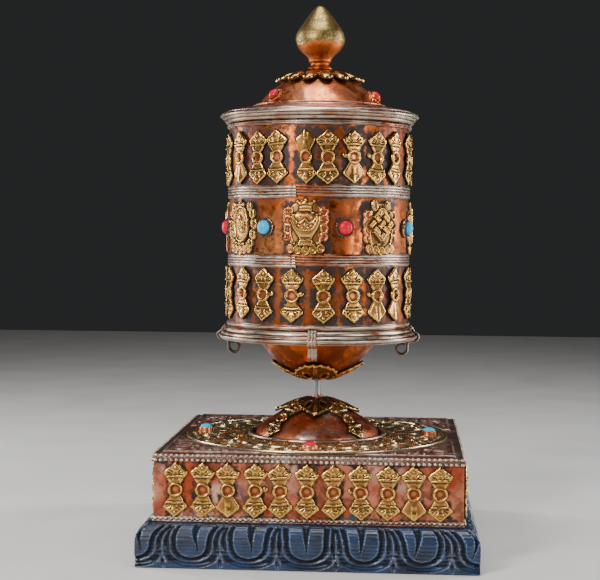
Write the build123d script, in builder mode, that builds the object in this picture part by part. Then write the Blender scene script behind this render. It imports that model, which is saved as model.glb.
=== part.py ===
"""Table-top prayer wheel: a drum with a lift-off lid, turning on the spindle of a copper-clad stand.

Millimetres, +Z up. The origin is on the table, under the middle of the plinth. The front faces -Y.
Azimuths are in degrees about the spindle, from the front (-Y) towards the right (+X).
"""
import os
from math import cos, radians, sin, tan

from build123d import *

# Driving dimensions: the stand
plinth_width = 175.0
plinth_height = 22.0
plinth_cushion = 8.0            # radius of the plinth's rounded top edge
wall_width = 158.0              # over the copper walls
plate_top = 57.0                # height of the copper top plate
sheet = 0.8                     # thickness of the sheet copper
trim_proud = 1.2                # how far the beaded trims stand off the walls
top_trim_height = 4.6
bottom_trim_height = 2.8
panel_dorjes = 11               # plaques on each side of the stand
panel_dorje_pitch = 13.5

# Driving dimensions: the dome on the stand and the spindle
stand_dome_radius = 34.4
stand_dome_top = 77.4
dome_ring_radius = 37.4
filigree_radius = 71.7
wire = 1.2                      # radius of the border wires
stone_ring_radius = 62.5
spindle_radius = 1.65
spindle_tip = 216.0
running_clearance = 0.05

# Driving dimensions: the drum
drum_radius = 49.8
drum_bottom = 118.4
drum_top = 229.4
cornice_flare = 4.3             # how far both cornices flare beyond the drum
cornice_floor = 111.2
bowl_radius = 32.7
bowl_bottom = 89.4
core_radius = 4.0
roll_radius = 48.0
roll_top = 226.0
dorje_width = 11.2
dorje_height = 28.8
dorje_proud = 1.7
upper_row_height = 210.2
symbol_row_height = 173.0
lower_row_height = 137.3
symbol_proud = 2.2
bezel_radius = 5.2
stone_radius = 3.7

# Driving dimensions: the lid
lid_gap = 0.3                   # seat clearance between the drum and the lid
lid_lip = 233.8
lid_dome_radius = 34.0
lid_dome_foot = 240.6
lid_dome_top = 260.6
petals = 14
finial_top = 295.8

# The plaques, symbols and stones were set by hand, so their spacing is uneven at the front.
upper_front = (-72.6, -53.6, -36.6, -22.6, -4.6, 8.4, 24.4, 40.4, 56.4, 76.4, 89.4)
upper_azimuths = upper_front + tuple(89.4 + 198.0 / 12 * step for step in range(1, 12))
lower_front = (-68.6, -49.6, -31.6, -12.6, 6.4, 24.4, 41.4, 57.4, 76.4)
lower_azimuths = lower_front + tuple(76.4 + 215.0 / 12 * step for step in range(1, 12))
symbol_azimuths = {
    "parasol": -95.6, "conch": -52.6, "vase": -4.6, "knot": 44.4,
    "fishes": 91.4, "lotus": 134.4, "banner": 177.4, "wheel": 220.4,
}
coral_azimuths = (-72.6, 19.0, 112.9, 198.9)
turquoise_azimuths = (-30.6, 72.0, 155.9, 242.4)
lid_stone_azimuths = (-46.6, 73.4, 193.4)

os.makedirs("parts", exist_ok=True)


def save(builder, name):
    """Label a finished piece and write its STEP file."""
    builder.part.label = name
    export_step(builder.part, f"parts/{name}.step")


def facing(azimuth, height, radius=0.0):
    """A plane that looks straight out from the spindle, with its y axis up."""
    angle = radians(azimuth)
    outward = Vector(sin(angle), -cos(angle), 0)
    sideways = Vector(cos(angle), sin(angle), 0)
    return Plane(origin=outward * radius + Vector(0, 0, height), x_dir=sideways, z_dir=outward)


def radial(azimuth):
    """The half plane of a profile: x runs out from the spindle and y runs up."""
    angle = radians(azimuth)
    outward = Vector(sin(angle), -cos(angle), 0)
    return Plane(origin=(0, 0, 0), x_dir=outward, z_dir=outward.cross(Vector(0, 0, 1)))


def polygon(*points):
    """Fill a closed outline in the open sketch, with its points where they stand."""
    Polygon(*points, align=None)


def dorje_outline(width, height):
    """Two pointed fans joined by a ring, in the open sketch."""
    half = height / 2
    polygon((0, half), (width / 2, half - 5.4), (2.4, 2.4), (-2.4, 2.4), (-width / 2, half - 5.4))
    polygon((0, -half), (width / 2, 5.4 - half), (2.4, -2.4), (-2.4, -2.4), (-width / 2, 5.4 - half))
    Circle(3.5)
    Circle(2.5, mode=Mode.SUBTRACT)


# --- The stand ---

screw_places = GridLocations(120, 120, 2, 2)
screw_radius = 1.6
screw_head_radius = 3.3
screw_head_depth = 2.6
underside = Plane(origin=(0, 0, 0), x_dir=(1, 0, 0), z_dir=(0, 0, -1))
counterbore_depth = 6.0
nut_pocket_radius = 9.0

# Carved wooden plinth with a cushion edge, drilled from below for the spindle nut and the screws.
with BuildPart() as plinth:
    with BuildSketch() as plinth_outline:
        RectangleRounded(plinth_width, plinth_width, 2.5)
    extrude(amount=plinth_height)
    fillet(plinth.faces().sort_by(Axis.Z)[-1].edges(), radius=plinth_cushion)
    with Locations(underside):
        CounterBoreHole(spindle_radius + 0.1, nut_pocket_radius, counterbore_depth)
        with screw_places:
            CounterSinkHole(screw_radius + 0.1, screw_head_radius + 0.2)
save(plinth, "plinth")

# Plain wooden block that the copper is nailed round.
core_width = wall_width - 2 * sheet
core_top = plate_top - sheet
with BuildPart() as base_core:
    with BuildSketch(Plane.XY.offset(plinth_height)) as core_outline:
        Rectangle(core_width, core_width)
        Circle(spindle_radius + 0.1, mode=Mode.SUBTRACT)
        with screw_places:
            Circle(screw_radius + 0.05, mode=Mode.SUBTRACT)
    extrude(amount=core_top - plinth_height)
save(base_core, "base_core")

# Copper sheet wrapped round the block.
with BuildPart() as box_walls:
    with BuildSketch(Plane.XY.offset(plinth_height)) as wall_outline:
        Rectangle(wall_width, wall_width)
        Rectangle(core_width, core_width, mode=Mode.SUBTRACT)
    extrude(amount=core_top - plinth_height)
save(box_walls, "box_walls")

with BuildPart() as box_top_plate:
    with BuildSketch(Plane.XY.offset(core_top)) as plate_outline:
        Rectangle(wall_width, wall_width)
        Circle(spindle_radius + 0.1, mode=Mode.SUBTRACT)
    extrude(amount=sheet)
save(box_top_plate, "box_top_plate")

# Beaded trims: square frames with rounded outer edges.
trim_width = wall_width + 2 * trim_proud
top_trim_base = plate_top + 0.4 - top_trim_height
bottom_trim_base = plinth_height + 0.4
for trim_name, trim_base, trim_height in (
    ("box_top_trim", top_trim_base, top_trim_height),
    ("box_bottom_trim", bottom_trim_base, bottom_trim_height),
):
    with BuildPart() as trim:
        with BuildSketch(Plane.XY.offset(trim_base)) as trim_outline:
            Rectangle(trim_width, trim_width)
            Rectangle(wall_width, wall_width, mode=Mode.SUBTRACT)
        extrude(amount=trim_height)
        outer_edges = trim.edges().filter_by(GeomType.LINE).sort_by(SortBy.LENGTH)[-8:]
        fillet(outer_edges.filter_by(lambda edge: edge.length > wall_width + 1), radius=0.8)
    save(trim, trim_name)

# A row of repoussé dorje plaques on each wall.
panel_middle = (bottom_trim_base + bottom_trim_height + top_trim_base) / 2
panel_height = top_trim_base - bottom_trim_base - bottom_trim_height
panel_sides = {"front": 0, "right": 90, "back": 180, "left": -90}
for side, azimuth in panel_sides.items():
    with BuildPart() as plaques:
        with BuildSketch(facing(azimuth, panel_middle, wall_width / 2)) as plaque_outlines:
            with GridLocations(panel_dorje_pitch, 1, panel_dorjes, 1):
                dorje_outline(dorje_width, panel_height - 0.4)
        extrude(amount=dorje_proud)
    save(plaques, f"{side}_dorjes")

# Sheet copper dome under the spindle, with a wire round its foot.
with BuildPart() as stand_dome:
    with BuildSketch(Plane.XZ) as dome_section:
        with BuildLine() as dome_line:
            dome_curve = Spline(
                (stand_dome_radius, plate_top), (31.0, 63.0), (25.5, 67.0), (16.0, 72.8), (2.0, stand_dome_top),
            )
            Line(dome_curve @ 1, (2.0, stand_dome_top - sheet))
            inner_curve = Spline(
                (2.0, stand_dome_top - sheet), (15.6, 72.0), (25.0, 66.2), (30.3, 62.4),
                (stand_dome_radius - sheet, plate_top),
            )
            Line(inner_curve @ 1, dome_curve @ 0)
        make_face()
    revolve(axis=Axis.Z)
save(stand_dome, "stand_dome")

with BuildPart() as dome_ring:
    with BuildSketch(Plane.XZ) as dome_wire:
        with Locations((dome_ring_radius, plate_top + wire)):
            Circle(wire)
    revolve(axis=Axis.Z)
save(dome_ring, "dome_ring")

# Pierced crown of four pointed leaves on the dome, and the four plaques between the leaves.
leaf_thickness = 0.9
spindle_hole = 3.4
with BuildPart() as dome_crown:
    with BuildSketch(Plane.XY.offset(plate_top)) as crown_outline:
        Circle(9.5)
        with PolarLocations(0, 4):
            polygon((0, 6.0), (6.0, 8.6), (12.0, 9.4), (17.0, 7.0), (22.6, 0),
                    (17.0, -7.0), (12.0, -9.4), (6.0, -8.6), (0, -6.0))
        Circle(spindle_hole, mode=Mode.SUBTRACT)
        with PolarLocations(13.2, 4):
            with Locations((0, 3.7), (0, -3.7)):
                Ellipse(3.2, 1.5, mode=Mode.SUBTRACT)
    extrude(amount=40)
    with BuildSketch(Plane.XZ) as crown_section:
        with BuildLine() as crown_line:
            crown_under = Spline((3.2, 77.7), (16.2, 73.2), (23.2, 69.0))
            crown_over = Spline((23.4, 69.0 + leaf_thickness), (16.4, 73.2 + leaf_thickness),
                                (3.2, 77.7 + leaf_thickness))
            Line(crown_under @ 1, crown_over @ 0)
            Line(crown_over @ 1, crown_under @ 0)
        make_face()
    revolve(axis=Axis.Z, mode=Mode.INTERSECT)
save(dome_crown, "dome_crown")

dome_plaque_radius = 24.8
dome_plaque_reach = 20.0        # length of a plaque seen from above
dome_plaque_gap = 0.12
dome_plaque_thickness = 1.3


def off_dome(along, gap):
    """Point on the plaque's section, a gap outside the dome's profile."""
    direction = dome_curve % along
    return dome_curve @ along + Vector(direction.Y, -direction.X) * gap


with BuildPart() as dome_dorjes:
    with BuildSketch(Plane.XY.offset(plate_top)) as dome_plaques:
        with PolarLocations(dome_plaque_radius, 4, start_angle=45):
            with Locations(Rotation(0, 0, 90)):
                dorje_outline(dorje_width, dome_plaque_reach)
    extrude(amount=40)
    with BuildSketch(Plane.XZ) as plaque_section:
        with BuildLine() as plaque_line:
            stations = (0.68, 0.55, 0.4, 0.25, 0.12, 0.03)
            plaque_under = Spline(*[off_dome(along, dome_plaque_gap) for along in stations])
            plaque_over = Spline(*[off_dome(along, dome_plaque_gap + dome_plaque_thickness) for along in reversed(stations)])
            Line(plaque_under @ 1, plaque_over @ 0)
            Line(plaque_over @ 1, plaque_under @ 0)
        make_face()
    revolve(axis=Axis.Z, mode=Mode.INTERSECT)
save(dome_dorjes, "dome_dorjes")

# Filigree disc on the top plate, inside a wire border.
with BuildPart() as filigree_ring:
    with BuildSketch(Plane.XZ) as filigree_wire:
        with Locations((filigree_radius, plate_top + wire)):
            Circle(wire)
    revolve(axis=Axis.Z)
save(filigree_ring, "filigree_ring")

filigree_thickness = 1.0
filigree_outer = filigree_radius - wire
filigree_inner = dome_ring_radius + wire
scroll_radius = 54.5
scrolls = 16
with BuildPart() as filigree_scrolls:
    with BuildSketch(Plane.XY.offset(plate_top)) as scroll_outline:
        for rim_radius in (filigree_outer - 0.1, filigree_inner + 1.7):
            Circle(rim_radius)
            Circle(rim_radius - 1.6, mode=Mode.SUBTRACT)
        with PolarLocations(scroll_radius, scrolls):
            Ellipse(filigree_outer - scroll_radius - 0.6, 9.4)
            Ellipse(filigree_outer - scroll_radius - 2.6, 7.6, mode=Mode.SUBTRACT)
        with PolarLocations(scroll_radius, scrolls):
            Circle(4.6)
            Circle(2.6, mode=Mode.SUBTRACT)
            Rectangle(30.0, 1.5)
        Circle(filigree_inner + 0.1, mode=Mode.SUBTRACT)
        with PolarLocations(stone_ring_radius, 4):
            Circle(4.4, mode=Mode.SUBTRACT)
    extrude(amount=filigree_thickness)
save(filigree_scrolls, "filigree_scrolls")

# Repoussé leaves in the four corners of the plate.
with BuildPart() as corner_spandrels:
    with BuildSketch(Plane.XY.offset(plate_top)) as spandrel_outline:
        Rectangle(150, 150)
        Circle(75.4, mode=Mode.SUBTRACT)
        Rectangle(200, 60, mode=Mode.SUBTRACT)
        Rectangle(60, 200, mode=Mode.SUBTRACT)
    extrude(amount=1.3)
save(corner_spandrels, "corner_spandrels")

# Four stones in collars, standing in the filigree.
collar_radius = 4.15
collar_height = 3.4
with BuildPart() as plate_bezels:
    with BuildSketch(Plane.XY.offset(plate_top)) as plate_collars:
        with PolarLocations(stone_ring_radius, 4):
            Circle(collar_radius)
    extrude(amount=collar_height)
    with BuildSketch(Plane.XY.offset(plate_top + 1.0)) as collar_pockets:
        with PolarLocations(stone_ring_radius, 4):
            Circle(stone_radius)
    extrude(amount=collar_height, mode=Mode.SUBTRACT)
save(plate_bezels, "plate_bezels")


def stone_section(radius, girdle, height):
    """Half section of a domed stone: a straight girdle under a spherical cap, in the open line."""
    rise = height - girdle
    Polyline((0, height), (0, 0), (radius, 0), (radius, girdle))
    RadiusArc((radius, girdle), (0, height), -(radius**2 + rise**2) / (2 * rise))


with BuildPart() as loose_stone:
    with BuildSketch(Plane.XZ) as stone_face:
        with BuildLine() as stone_line:
            stone_section(stone_radius - 0.05, 2.2, 4.4)
        make_face()
    revolve(axis=Axis.Z)

front_and_back = [(0, -stone_ring_radius), (0, stone_ring_radius)]
left_and_right = [(-stone_ring_radius, 0), (stone_ring_radius, 0)]
for stone_name, places in (("plate_corals", front_and_back), ("plate_turquoises", left_and_right)):
    with BuildPart() as plate_stones:
        with Locations(*[Location((x, y, plate_top + 1.0)) for x, y in places]):
            add(loose_stone.part)
    save(plate_stones, stone_name)

# Steel spindle: nut and washer under the plinth, a pointed tip inside the drum.
spindle_foot = 0.8
washer_thickness = 1.0
nut_height = 2.6
tip_length = spindle_radius / tan(radians(25))
with BuildPart() as spindle:
    with BuildSketch(Plane.XZ) as spindle_section:
        polygon((0, spindle_foot), (spindle_radius, spindle_foot),
                (spindle_radius, spindle_tip - tip_length), (0, spindle_tip))
    revolve(axis=Axis.Z)
save(spindle, "spindle")

with BuildPart() as spindle_washer:
    with BuildSketch(Plane.XY.offset(counterbore_depth - washer_thickness)) as washer_outline:
        Circle(6.5)
        Circle(spindle_radius + 0.1, mode=Mode.SUBTRACT)
    extrude(amount=washer_thickness)
save(spindle_washer, "spindle_washer")

with BuildPart() as spindle_nut:
    with BuildSketch(Plane.XY.offset(counterbore_depth - washer_thickness - nut_height)) as nut_outline:
        RegularPolygon(3.9, 6)
        Circle(spindle_radius, mode=Mode.SUBTRACT)
    extrude(amount=nut_height)
save(spindle_nut, "spindle_nut")

collar_foot = 78.7
with BuildPart() as spindle_collar:
    with BuildSketch(Plane.XZ) as spindle_collar_section:
        polygon((spindle_radius, collar_foot), (3.2, collar_foot), (2.7, collar_foot + 1.1),
                (spindle_radius, collar_foot + 1.1))
    revolve(axis=Axis.Z)
save(spindle_collar, "spindle_collar")

# Four countersunk screws, from the plinth into the block.
screw_length = 34.0
with BuildPart() as one_screw:
    with BuildSketch(Plane.XZ) as screw_section:
        polygon((0, 0.4), (screw_head_radius, 0.4), (screw_radius, 0.4 + screw_head_depth),
                (screw_radius, screw_length - 3), (0, screw_length))
    revolve(axis=Axis.Z)
with BuildPart() as plinth_screws:
    with screw_places:
        add(one_screw.part)
save(plinth_screws, "plinth_screws")

# --- The drum ---

# Copper tube of the drum.
with BuildPart() as drum_shell:
    with BuildSketch(Plane.XY.offset(drum_bottom)) as shell_outline:
        Circle(drum_radius)
        Circle(drum_radius - sheet, mode=Mode.SUBTRACT)
    extrude(amount=drum_top - drum_bottom)
save(drum_shell, "drum_shell")

# Reeded hoops: (lower edge, upper edge, how far the reeds stand proud, number of reeds).
hoops = {
    "upper_rim": (227.0, drum_top, 1.5, 1),
    "upper_band": (188.9, 195.5, 0.9, 3),
    "lower_band": (152.2, 158.6, 0.9, 3),
    "lower_rim": (drum_bottom + 0.3, 121.4, 1.5, 1),
}
for hoop_name, (hoop_base, hoop_top, proud, reeds) in hoops.items():
    reed = (hoop_top - hoop_base) / reeds
    with BuildPart() as hoop:
        with BuildSketch(Plane.XZ) as hoop_section:
            with BuildLine() as hoop_line:
                Polyline((drum_radius + proud / 2, hoop_top), (drum_radius, hoop_top),
                         (drum_radius, hoop_base), (drum_radius + proud / 2, hoop_base))
                for step in range(reeds):
                    start = hoop_base + step * reed
                    ThreePointArc((drum_radius + proud / 2, start),
                                  (drum_radius + proud, start + reed / 2),
                                  (drum_radius + proud / 2, start + reed))
            make_face()
        revolve(axis=Axis.Z)
    save(hoop, hoop_name)


def trim_to_drum(outer):
    """Keep only what lies in a skin on the drum, from the shell out to a radius."""
    with BuildSketch(Plane.XY.offset(drum_bottom)) as skin:
        Circle(outer)
        Circle(drum_radius, mode=Mode.SUBTRACT)
    extrude(skin.sketch, amount=drum_top - drum_bottom, mode=Mode.INTERSECT)


# Two rows of dorje plaques, bent to the drum.
dorje_rows = {
    "upper_dorje_row": (upper_azimuths, upper_row_height),
    "lower_dorje_row": (lower_azimuths, lower_row_height),
}
for row_name, (azimuths, height) in dorje_rows.items():
    with BuildPart() as dorje_row:
        for azimuth in azimuths:
            with BuildSketch(facing(azimuth, height, drum_radius - 3)):
                dorje_outline(dorje_width, dorje_height)
        extrude(amount=8)
        trim_to_drum(drum_radius + dorje_proud)
    save(dorje_row, row_name)


def lotus_foot():
    """Row of petals under each symbol."""
    with Locations((0, -11.6)):
        Ellipse(9.0, 2.9)
    with Locations((-6.6, -11.0), (0, -12.0), (6.6, -11.0)):
        Circle(2.4)


def parasol():
    with Locations((0, 3.0)):
        Circle(9.6)
        Rectangle(20, 10, align=(Align.CENTER, Align.MAX), mode=Mode.SUBTRACT)
    Rectangle(18.5, 3.2)
    Rectangle(3.0, 22)


def conch():
    Ellipse(8.6, 11.0)
    with Locations((0, 11.6)):
        Circle(2.3)


def vase():
    with Locations((0, -1.0)):
        Ellipse(8.8, 7.6)
    with Locations((0, 7.5)):
        Rectangle(7.0, 8.0)
    polygon((-4.4, 10.6), (4.4, 10.6), (5.4, 14.4), (0, 12.8), (-5.4, 14.4))
    polygon((-3.0, -7.0), (3.0, -7.0), (5.2, -11.0), (-5.2, -11.0))
    with Locations((-9.0, 5.0), (9.0, 5.0), (-9.2, -6.4), (9.2, -6.4)):
        Circle(2.9)


def knot():
    for offset in (-5.2, 0, 5.2):
        with Locations(Location((offset * 0.7, 1.5 + offset * 0.7), 45)):
            Rectangle(3.0, 20.0)
        with Locations(Location((offset * 0.7, 1.5 - offset * 0.7), -45)):
            Rectangle(3.0, 20.0)


def fishes():
    with Locations(Location((-2.6, 1.5), 24), Location((2.6, 1.5), -24)):
        Ellipse(4.4, 12.0)


def lotus():
    for tilt in (-56, -28, 0, 28, 56):
        with Locations(Location((-7.6 * sin(radians(tilt)), -4.0 + 7.6 * cos(radians(tilt))), tilt)):
            Ellipse(3.3, 8.0)
    with Locations((0, -6.4)):
        Circle(4.2)


def banner():
    for level, width in ((-6.5, 11.0), (-1.0, 13.0), (4.5, 15.0)):
        with Locations((0, level)):
            Rectangle(width, 6.0)
    with Locations((0, 8.6)):
        Ellipse(8.4, 4.0)
    with Locations((0, 13.0)):
        Circle(1.8)


def wheel():
    Circle(10.4)
    with PolarLocations(6.2, 8):
        Circle(1.7, mode=Mode.SUBTRACT)


# The eight lucky symbols, each its own pressed medallion.
symbol_outlines = {
    "parasol": parasol, "conch": conch, "vase": vase, "knot": knot,
    "fishes": fishes, "lotus": lotus, "banner": banner, "wheel": wheel,
}
for symbol_name, azimuth in symbol_azimuths.items():
    with BuildPart() as symbol:
        with BuildSketch(facing(azimuth, symbol_row_height, drum_radius - 4)) as symbol_outline:
            symbol_outlines[symbol_name]()
            lotus_foot()
        extrude(amount=10)
        trim_to_drum(drum_radius + symbol_proud)
    save(symbol, f"symbol_{symbol_name}")

# Eight stones in bezels between the symbols.
bezel_proud = 3.0
stone_seat = 0.9
stone_azimuths = coral_azimuths + turquoise_azimuths
with BuildPart() as drum_bezels:
    for azimuth in stone_azimuths:
        with BuildSketch(facing(azimuth, symbol_row_height, drum_radius - 2)):
            Circle(bezel_radius)
    extrude(amount=bezel_proud + 2)
    for azimuth in stone_azimuths:
        with BuildSketch(facing(azimuth, symbol_row_height, drum_radius + stone_seat)):
            Circle(stone_radius)
    extrude(amount=bezel_proud, mode=Mode.SUBTRACT)
    with BuildSketch(Plane.XY.offset(drum_bottom)) as inside_drum:
        Circle(drum_radius)
    extrude(amount=drum_top - drum_bottom, mode=Mode.SUBTRACT)
save(drum_bezels, "drum_bezels")

drum_stones_by_colour = (("drum_corals", coral_azimuths), ("drum_turquoises", turquoise_azimuths))
for stone_name, azimuths in drum_stones_by_colour:
    with BuildPart() as drum_stones:
        seats = [facing(azimuth, symbol_row_height, drum_radius + stone_seat) for azimuth in azimuths]
        with Locations(*[seat.location for seat in seats]):
            add(loose_stone.part)
    save(drum_stones, stone_name)

# Flared bottom cornice with the floor of the drum.
floor_hole = core_radius - 1.0
lip_radius = drum_radius + 1.3 + cornice_flare
lip_height = 113.6
cornice_curve = [
    (51.1, drum_bottom), (52.2, 116.9), (53.2, 115.3), (lip_radius, lip_height),
    (lip_radius, lip_height - 1.4), (54.2, cornice_floor),
]
with BuildPart() as bottom_cornice:
    with BuildSketch(Plane.XZ) as cornice_section:
        polygon(*cornice_curve, (floor_hole, cornice_floor), (floor_hole, cornice_floor + 1.2),
                (49.0, cornice_floor + 1.2), (49.0, drum_bottom))
    revolve(axis=Axis.Z)
save(bottom_cornice, "bottom_cornice")

# Four ribbed clips over the cornice, each ending in a loop under it.
clip_width = 4.7
clip_thickness = 0.8
loop_place = (46.6, 107.4)
loop_radius = 3.0
with BuildPart() as cover_clips:
    for azimuth in (0, 90, 180, 270):
        with BuildSketch(radial(azimuth)):
            polygon(*cornice_curve, (loop_place[0], cornice_floor),
                    (loop_place[0], cornice_floor - clip_thickness),
                    (54.5, cornice_floor - clip_thickness), (lip_radius + clip_thickness, lip_height - 1.8),
                    (lip_radius + clip_thickness, lip_height + 0.5), (54.1, 115.7), (53.0, 117.3),
                    (51.1 + clip_thickness, drum_bottom))
            with Locations(loop_place):
                Circle(loop_radius + 0.2)
                Circle(loop_radius - clip_thickness - 0.3, mode=Mode.SUBTRACT)
    extrude(amount=clip_width / 2, both=True)
save(cover_clips, "cover_clips")

# Bowl under the cornice.
with BuildPart() as bowl:
    with BuildSketch(Plane.XZ) as bowl_section:
        with BuildLine() as bowl_line:
            bowl_out = Spline((core_radius, bowl_bottom), (14.5, 92.4), (25.2, 100.6),
                              (bowl_radius, cornice_floor - 0.7))
            Polyline(bowl_out @ 1, (bowl_radius + 1.3, cornice_floor - 0.7),
                     (bowl_radius + 1.3, cornice_floor), (bowl_radius - 1.3, cornice_floor))
            bowl_in = Spline((bowl_radius - 1.3, cornice_floor), (24.2, 101.3), (14.0, 93.4),
                             (core_radius, bowl_bottom + 1.0))
            Line(bowl_in @ 1, bowl_out @ 0)
        make_face()
    revolve(axis=Axis.Z)
save(bowl, "bowl")

# Pierced four-lobed rosette under the bowl.
with BuildPart() as bowl_rosette:
    with BuildSketch(Plane.XY.offset(bowl_bottom - 10)) as rosette_outline:
        Circle(11.0)
        with PolarLocations(13.0, 4):
            Ellipse(12.6, 11.4)
        Circle(core_radius + 1.2, mode=Mode.SUBTRACT)
        with PolarLocations(15.0, 4):
            with Locations((0, 4.4), (0, -4.4)):
                Ellipse(3.8, 1.7, mode=Mode.SUBTRACT)
    extrude(amount=40)
    with BuildSketch(Plane.XZ) as rosette_section:
        with BuildLine() as rosette_line:
            rosette_top = Spline((core_radius + 1, 89.2), (14.8, 91.9), (25.8, 99.4))
            rosette_foot = Spline((26.2, 98.6), (15.2, 90.9), (core_radius + 1, 88.3))
            Line(rosette_top @ 1, rosette_foot @ 0)
            Line(rosette_foot @ 1, rosette_top @ 0)
        make_face()
    revolve(axis=Axis.Z, mode=Mode.INTERSECT)
save(bowl_rosette, "bowl_rosette")

# Brass bush that the spindle runs in.
with BuildPart() as bottom_bush:
    with BuildSketch(Plane.XY.offset(bowl_bottom - 1.0)) as bush_outline:
        Circle(core_radius)
        Circle(spindle_radius + running_clearance, mode=Mode.SUBTRACT)
    extrude(amount=7.0)
save(bottom_bush, "bottom_bush")

# Wooden core tube with the paper roll of printed mantras wound on it, in silk.
core_foot = cornice_floor + 1.2
core_tube_top = 222.0
with BuildPart() as core_tube:
    with BuildSketch(Plane.XY.offset(core_foot)) as core_tube_outline:
        Circle(core_radius)
        Circle(core_radius - 1.0, mode=Mode.SUBTRACT)
    extrude(amount=core_tube_top - core_foot)
save(core_tube, "core_tube")

silk_thickness = 0.5
roll_skins = (
    ("mantra_roll", core_radius, roll_radius),
    ("silk_wrap", roll_radius, roll_radius + silk_thickness),
)
for roll_name, inner_radius, outer_radius in roll_skins:
    with BuildPart() as winding:
        with BuildSketch(Plane.XY.offset(core_foot)) as winding_outline:
            Circle(outer_radius)
            Circle(inner_radius, mode=Mode.SUBTRACT)
        extrude(amount=roll_top - core_foot)
    save(winding, roll_name)

# Brass cup in the top of the core tube: the drum hangs on the spindle's tip.
cup_mouth = 2.4
cup_apex = spindle_tip + running_clearance
cup_foot = cup_apex - cup_mouth / tan(radians(35))
with BuildPart() as pivot_cup:
    with BuildSketch(Plane.XZ) as cup_section:
        polygon((cup_mouth, cup_foot), (core_radius - 1.0, cup_foot),
                (core_radius - 1.0, core_tube_top), (0, core_tube_top), (0, cup_apex))
    revolve(axis=Axis.Z)
save(pivot_cup, "pivot_cup")

# --- The lid ---

lid_seat = drum_top + lid_gap
skirt_depth = 2.2
skirt_radius = drum_radius - sheet - lid_gap
flange_height = lid_dome_foot - 0.9

# Flared top cornice, with a skirt that drops inside the drum.
with BuildPart() as lid_cornice:
    with BuildSketch(Plane.XZ) as lid_cornice_section:
        polygon((skirt_radius, lid_seat), (51.1, lid_seat), (52.2, lid_seat + 1.3), (53.2, lid_seat + 2.7),
                (lip_radius - 0.1, lid_lip - 0.5), (lip_radius - 0.1, lid_lip + 0.3), (51.4, 236.6),
                (40.0, 238.6), (38.0, flange_height), (33.0, flange_height), (33.0, flange_height - 1.0),
                (38.5, 237.4), (skirt_radius - 1.0, 234.6),
                (skirt_radius - 1.0, lid_seat - skirt_depth), (skirt_radius, lid_seat - skirt_depth))
    revolve(axis=Axis.Z)
save(lid_cornice, "lid_cornice")

# Lid dome, with the hole for the finial's stud.
stud_radius = 2.0
with BuildPart() as lid_dome:
    with BuildSketch(Plane.XZ) as lid_section:
        with BuildLine() as lid_line:
            lid_curve = ThreePointArc((lid_dome_radius, lid_dome_foot), (22.3, 251.8),
                                      (stud_radius + 0.1, lid_dome_top))
            Line(lid_curve @ 1, (stud_radius + 0.1, lid_dome_top - sheet))
            lid_inner = ThreePointArc((stud_radius + 0.1, lid_dome_top - sheet), (21.8, 251.0),
                                      (lid_dome_radius - 1.0, lid_dome_foot))
            Polyline(lid_inner @ 1, (lid_dome_radius - 1.0, flange_height),
                     (lid_dome_radius + 2.6, flange_height), (lid_dome_radius + 2.6, lid_dome_foot),
                     lid_curve @ 0)
        make_face()
    revolve(axis=Axis.Z)
save(lid_dome, "lid_dome")

# Scalloped petal collar under the finial.
with BuildPart() as petal_collar:
    with BuildSketch(Plane.XY.offset(lid_dome_foot)) as collar_outline:
        Circle(18.6)
        with PolarLocations(18.6, petals):
            Circle(3.9)
        Circle(6.9, mode=Mode.SUBTRACT)
    extrude(amount=30)
    with BuildSketch(Plane.XZ) as collar_section:
        with BuildLine() as collar_line:
            collar_under = ThreePointArc((23.2, 252.4), (15.0, 257.4), (6.0, lid_dome_top + 0.3))
            collar_over = ThreePointArc((6.0, lid_dome_top + 1.3), (15.2, 258.5), (23.6, 253.5))
            Line(collar_under @ 1, collar_over @ 0)
            Line(collar_over @ 1, collar_under @ 0)
        make_face()
    revolve(axis=Axis.Z, mode=Mode.INTERSECT)
save(petal_collar, "petal_collar")

# Jewel-shaped finial on a stud.
stud_foot = 255.8
with BuildPart() as finial:
    with BuildSketch(Plane.XZ) as finial_section:
        with BuildLine() as finial_line:
            Polyline((0, stud_foot), (stud_radius, stud_foot), (stud_radius, lid_dome_top),
                     (6.7, lid_dome_top), (6.7, lid_dome_top + 0.5))
            Spline((6.7, lid_dome_top + 0.5), (5.4, 263.4), (6.1, 265.8))
            belly = Spline((6.1, 265.8), (10.1, 270.2), (13.3, 274.5), (13.6, 278.2), (11.3, 283.5),
                           (6.6, 290.2), (2.2, 295.1), (0, finial_top))
            Line(belly @ 1, (0, stud_foot))
        make_face()
    revolve(axis=Axis.Z)
save(finial, "finial")

with BuildPart() as finial_nut:
    with BuildSketch(Plane.XY.offset(lid_dome_top - sheet - 3.4)) as finial_nut_outline:
        RegularPolygon(4.0, 6)
        Circle(stud_radius, mode=Mode.SUBTRACT)
    extrude(amount=2.7)
save(finial_nut, "finial_nut")

# Three stones in collars on the lid, square to its curve.
lid_collar_radius = 4.2
lid_collar_height = 2.2
lid_stone_radius = 2.9
stone_fraction = 0.18
seat_point = lid_curve @ stone_fraction
slope = lid_curve % stone_fraction


def lid_plane(azimuth, lift):
    """A plane on the lid's surface, lifted square to it."""
    angle = radians(azimuth)
    outward = Vector(sin(angle), -cos(angle), 0)
    normal = outward * abs(slope.Y) + Vector(0, 0, abs(slope.X))
    foot = outward * seat_point.X + Vector(0, 0, seat_point.Y)
    return Plane(origin=foot + normal * lift, x_dir=(cos(angle), sin(angle), 0), z_dir=normal)


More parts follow.
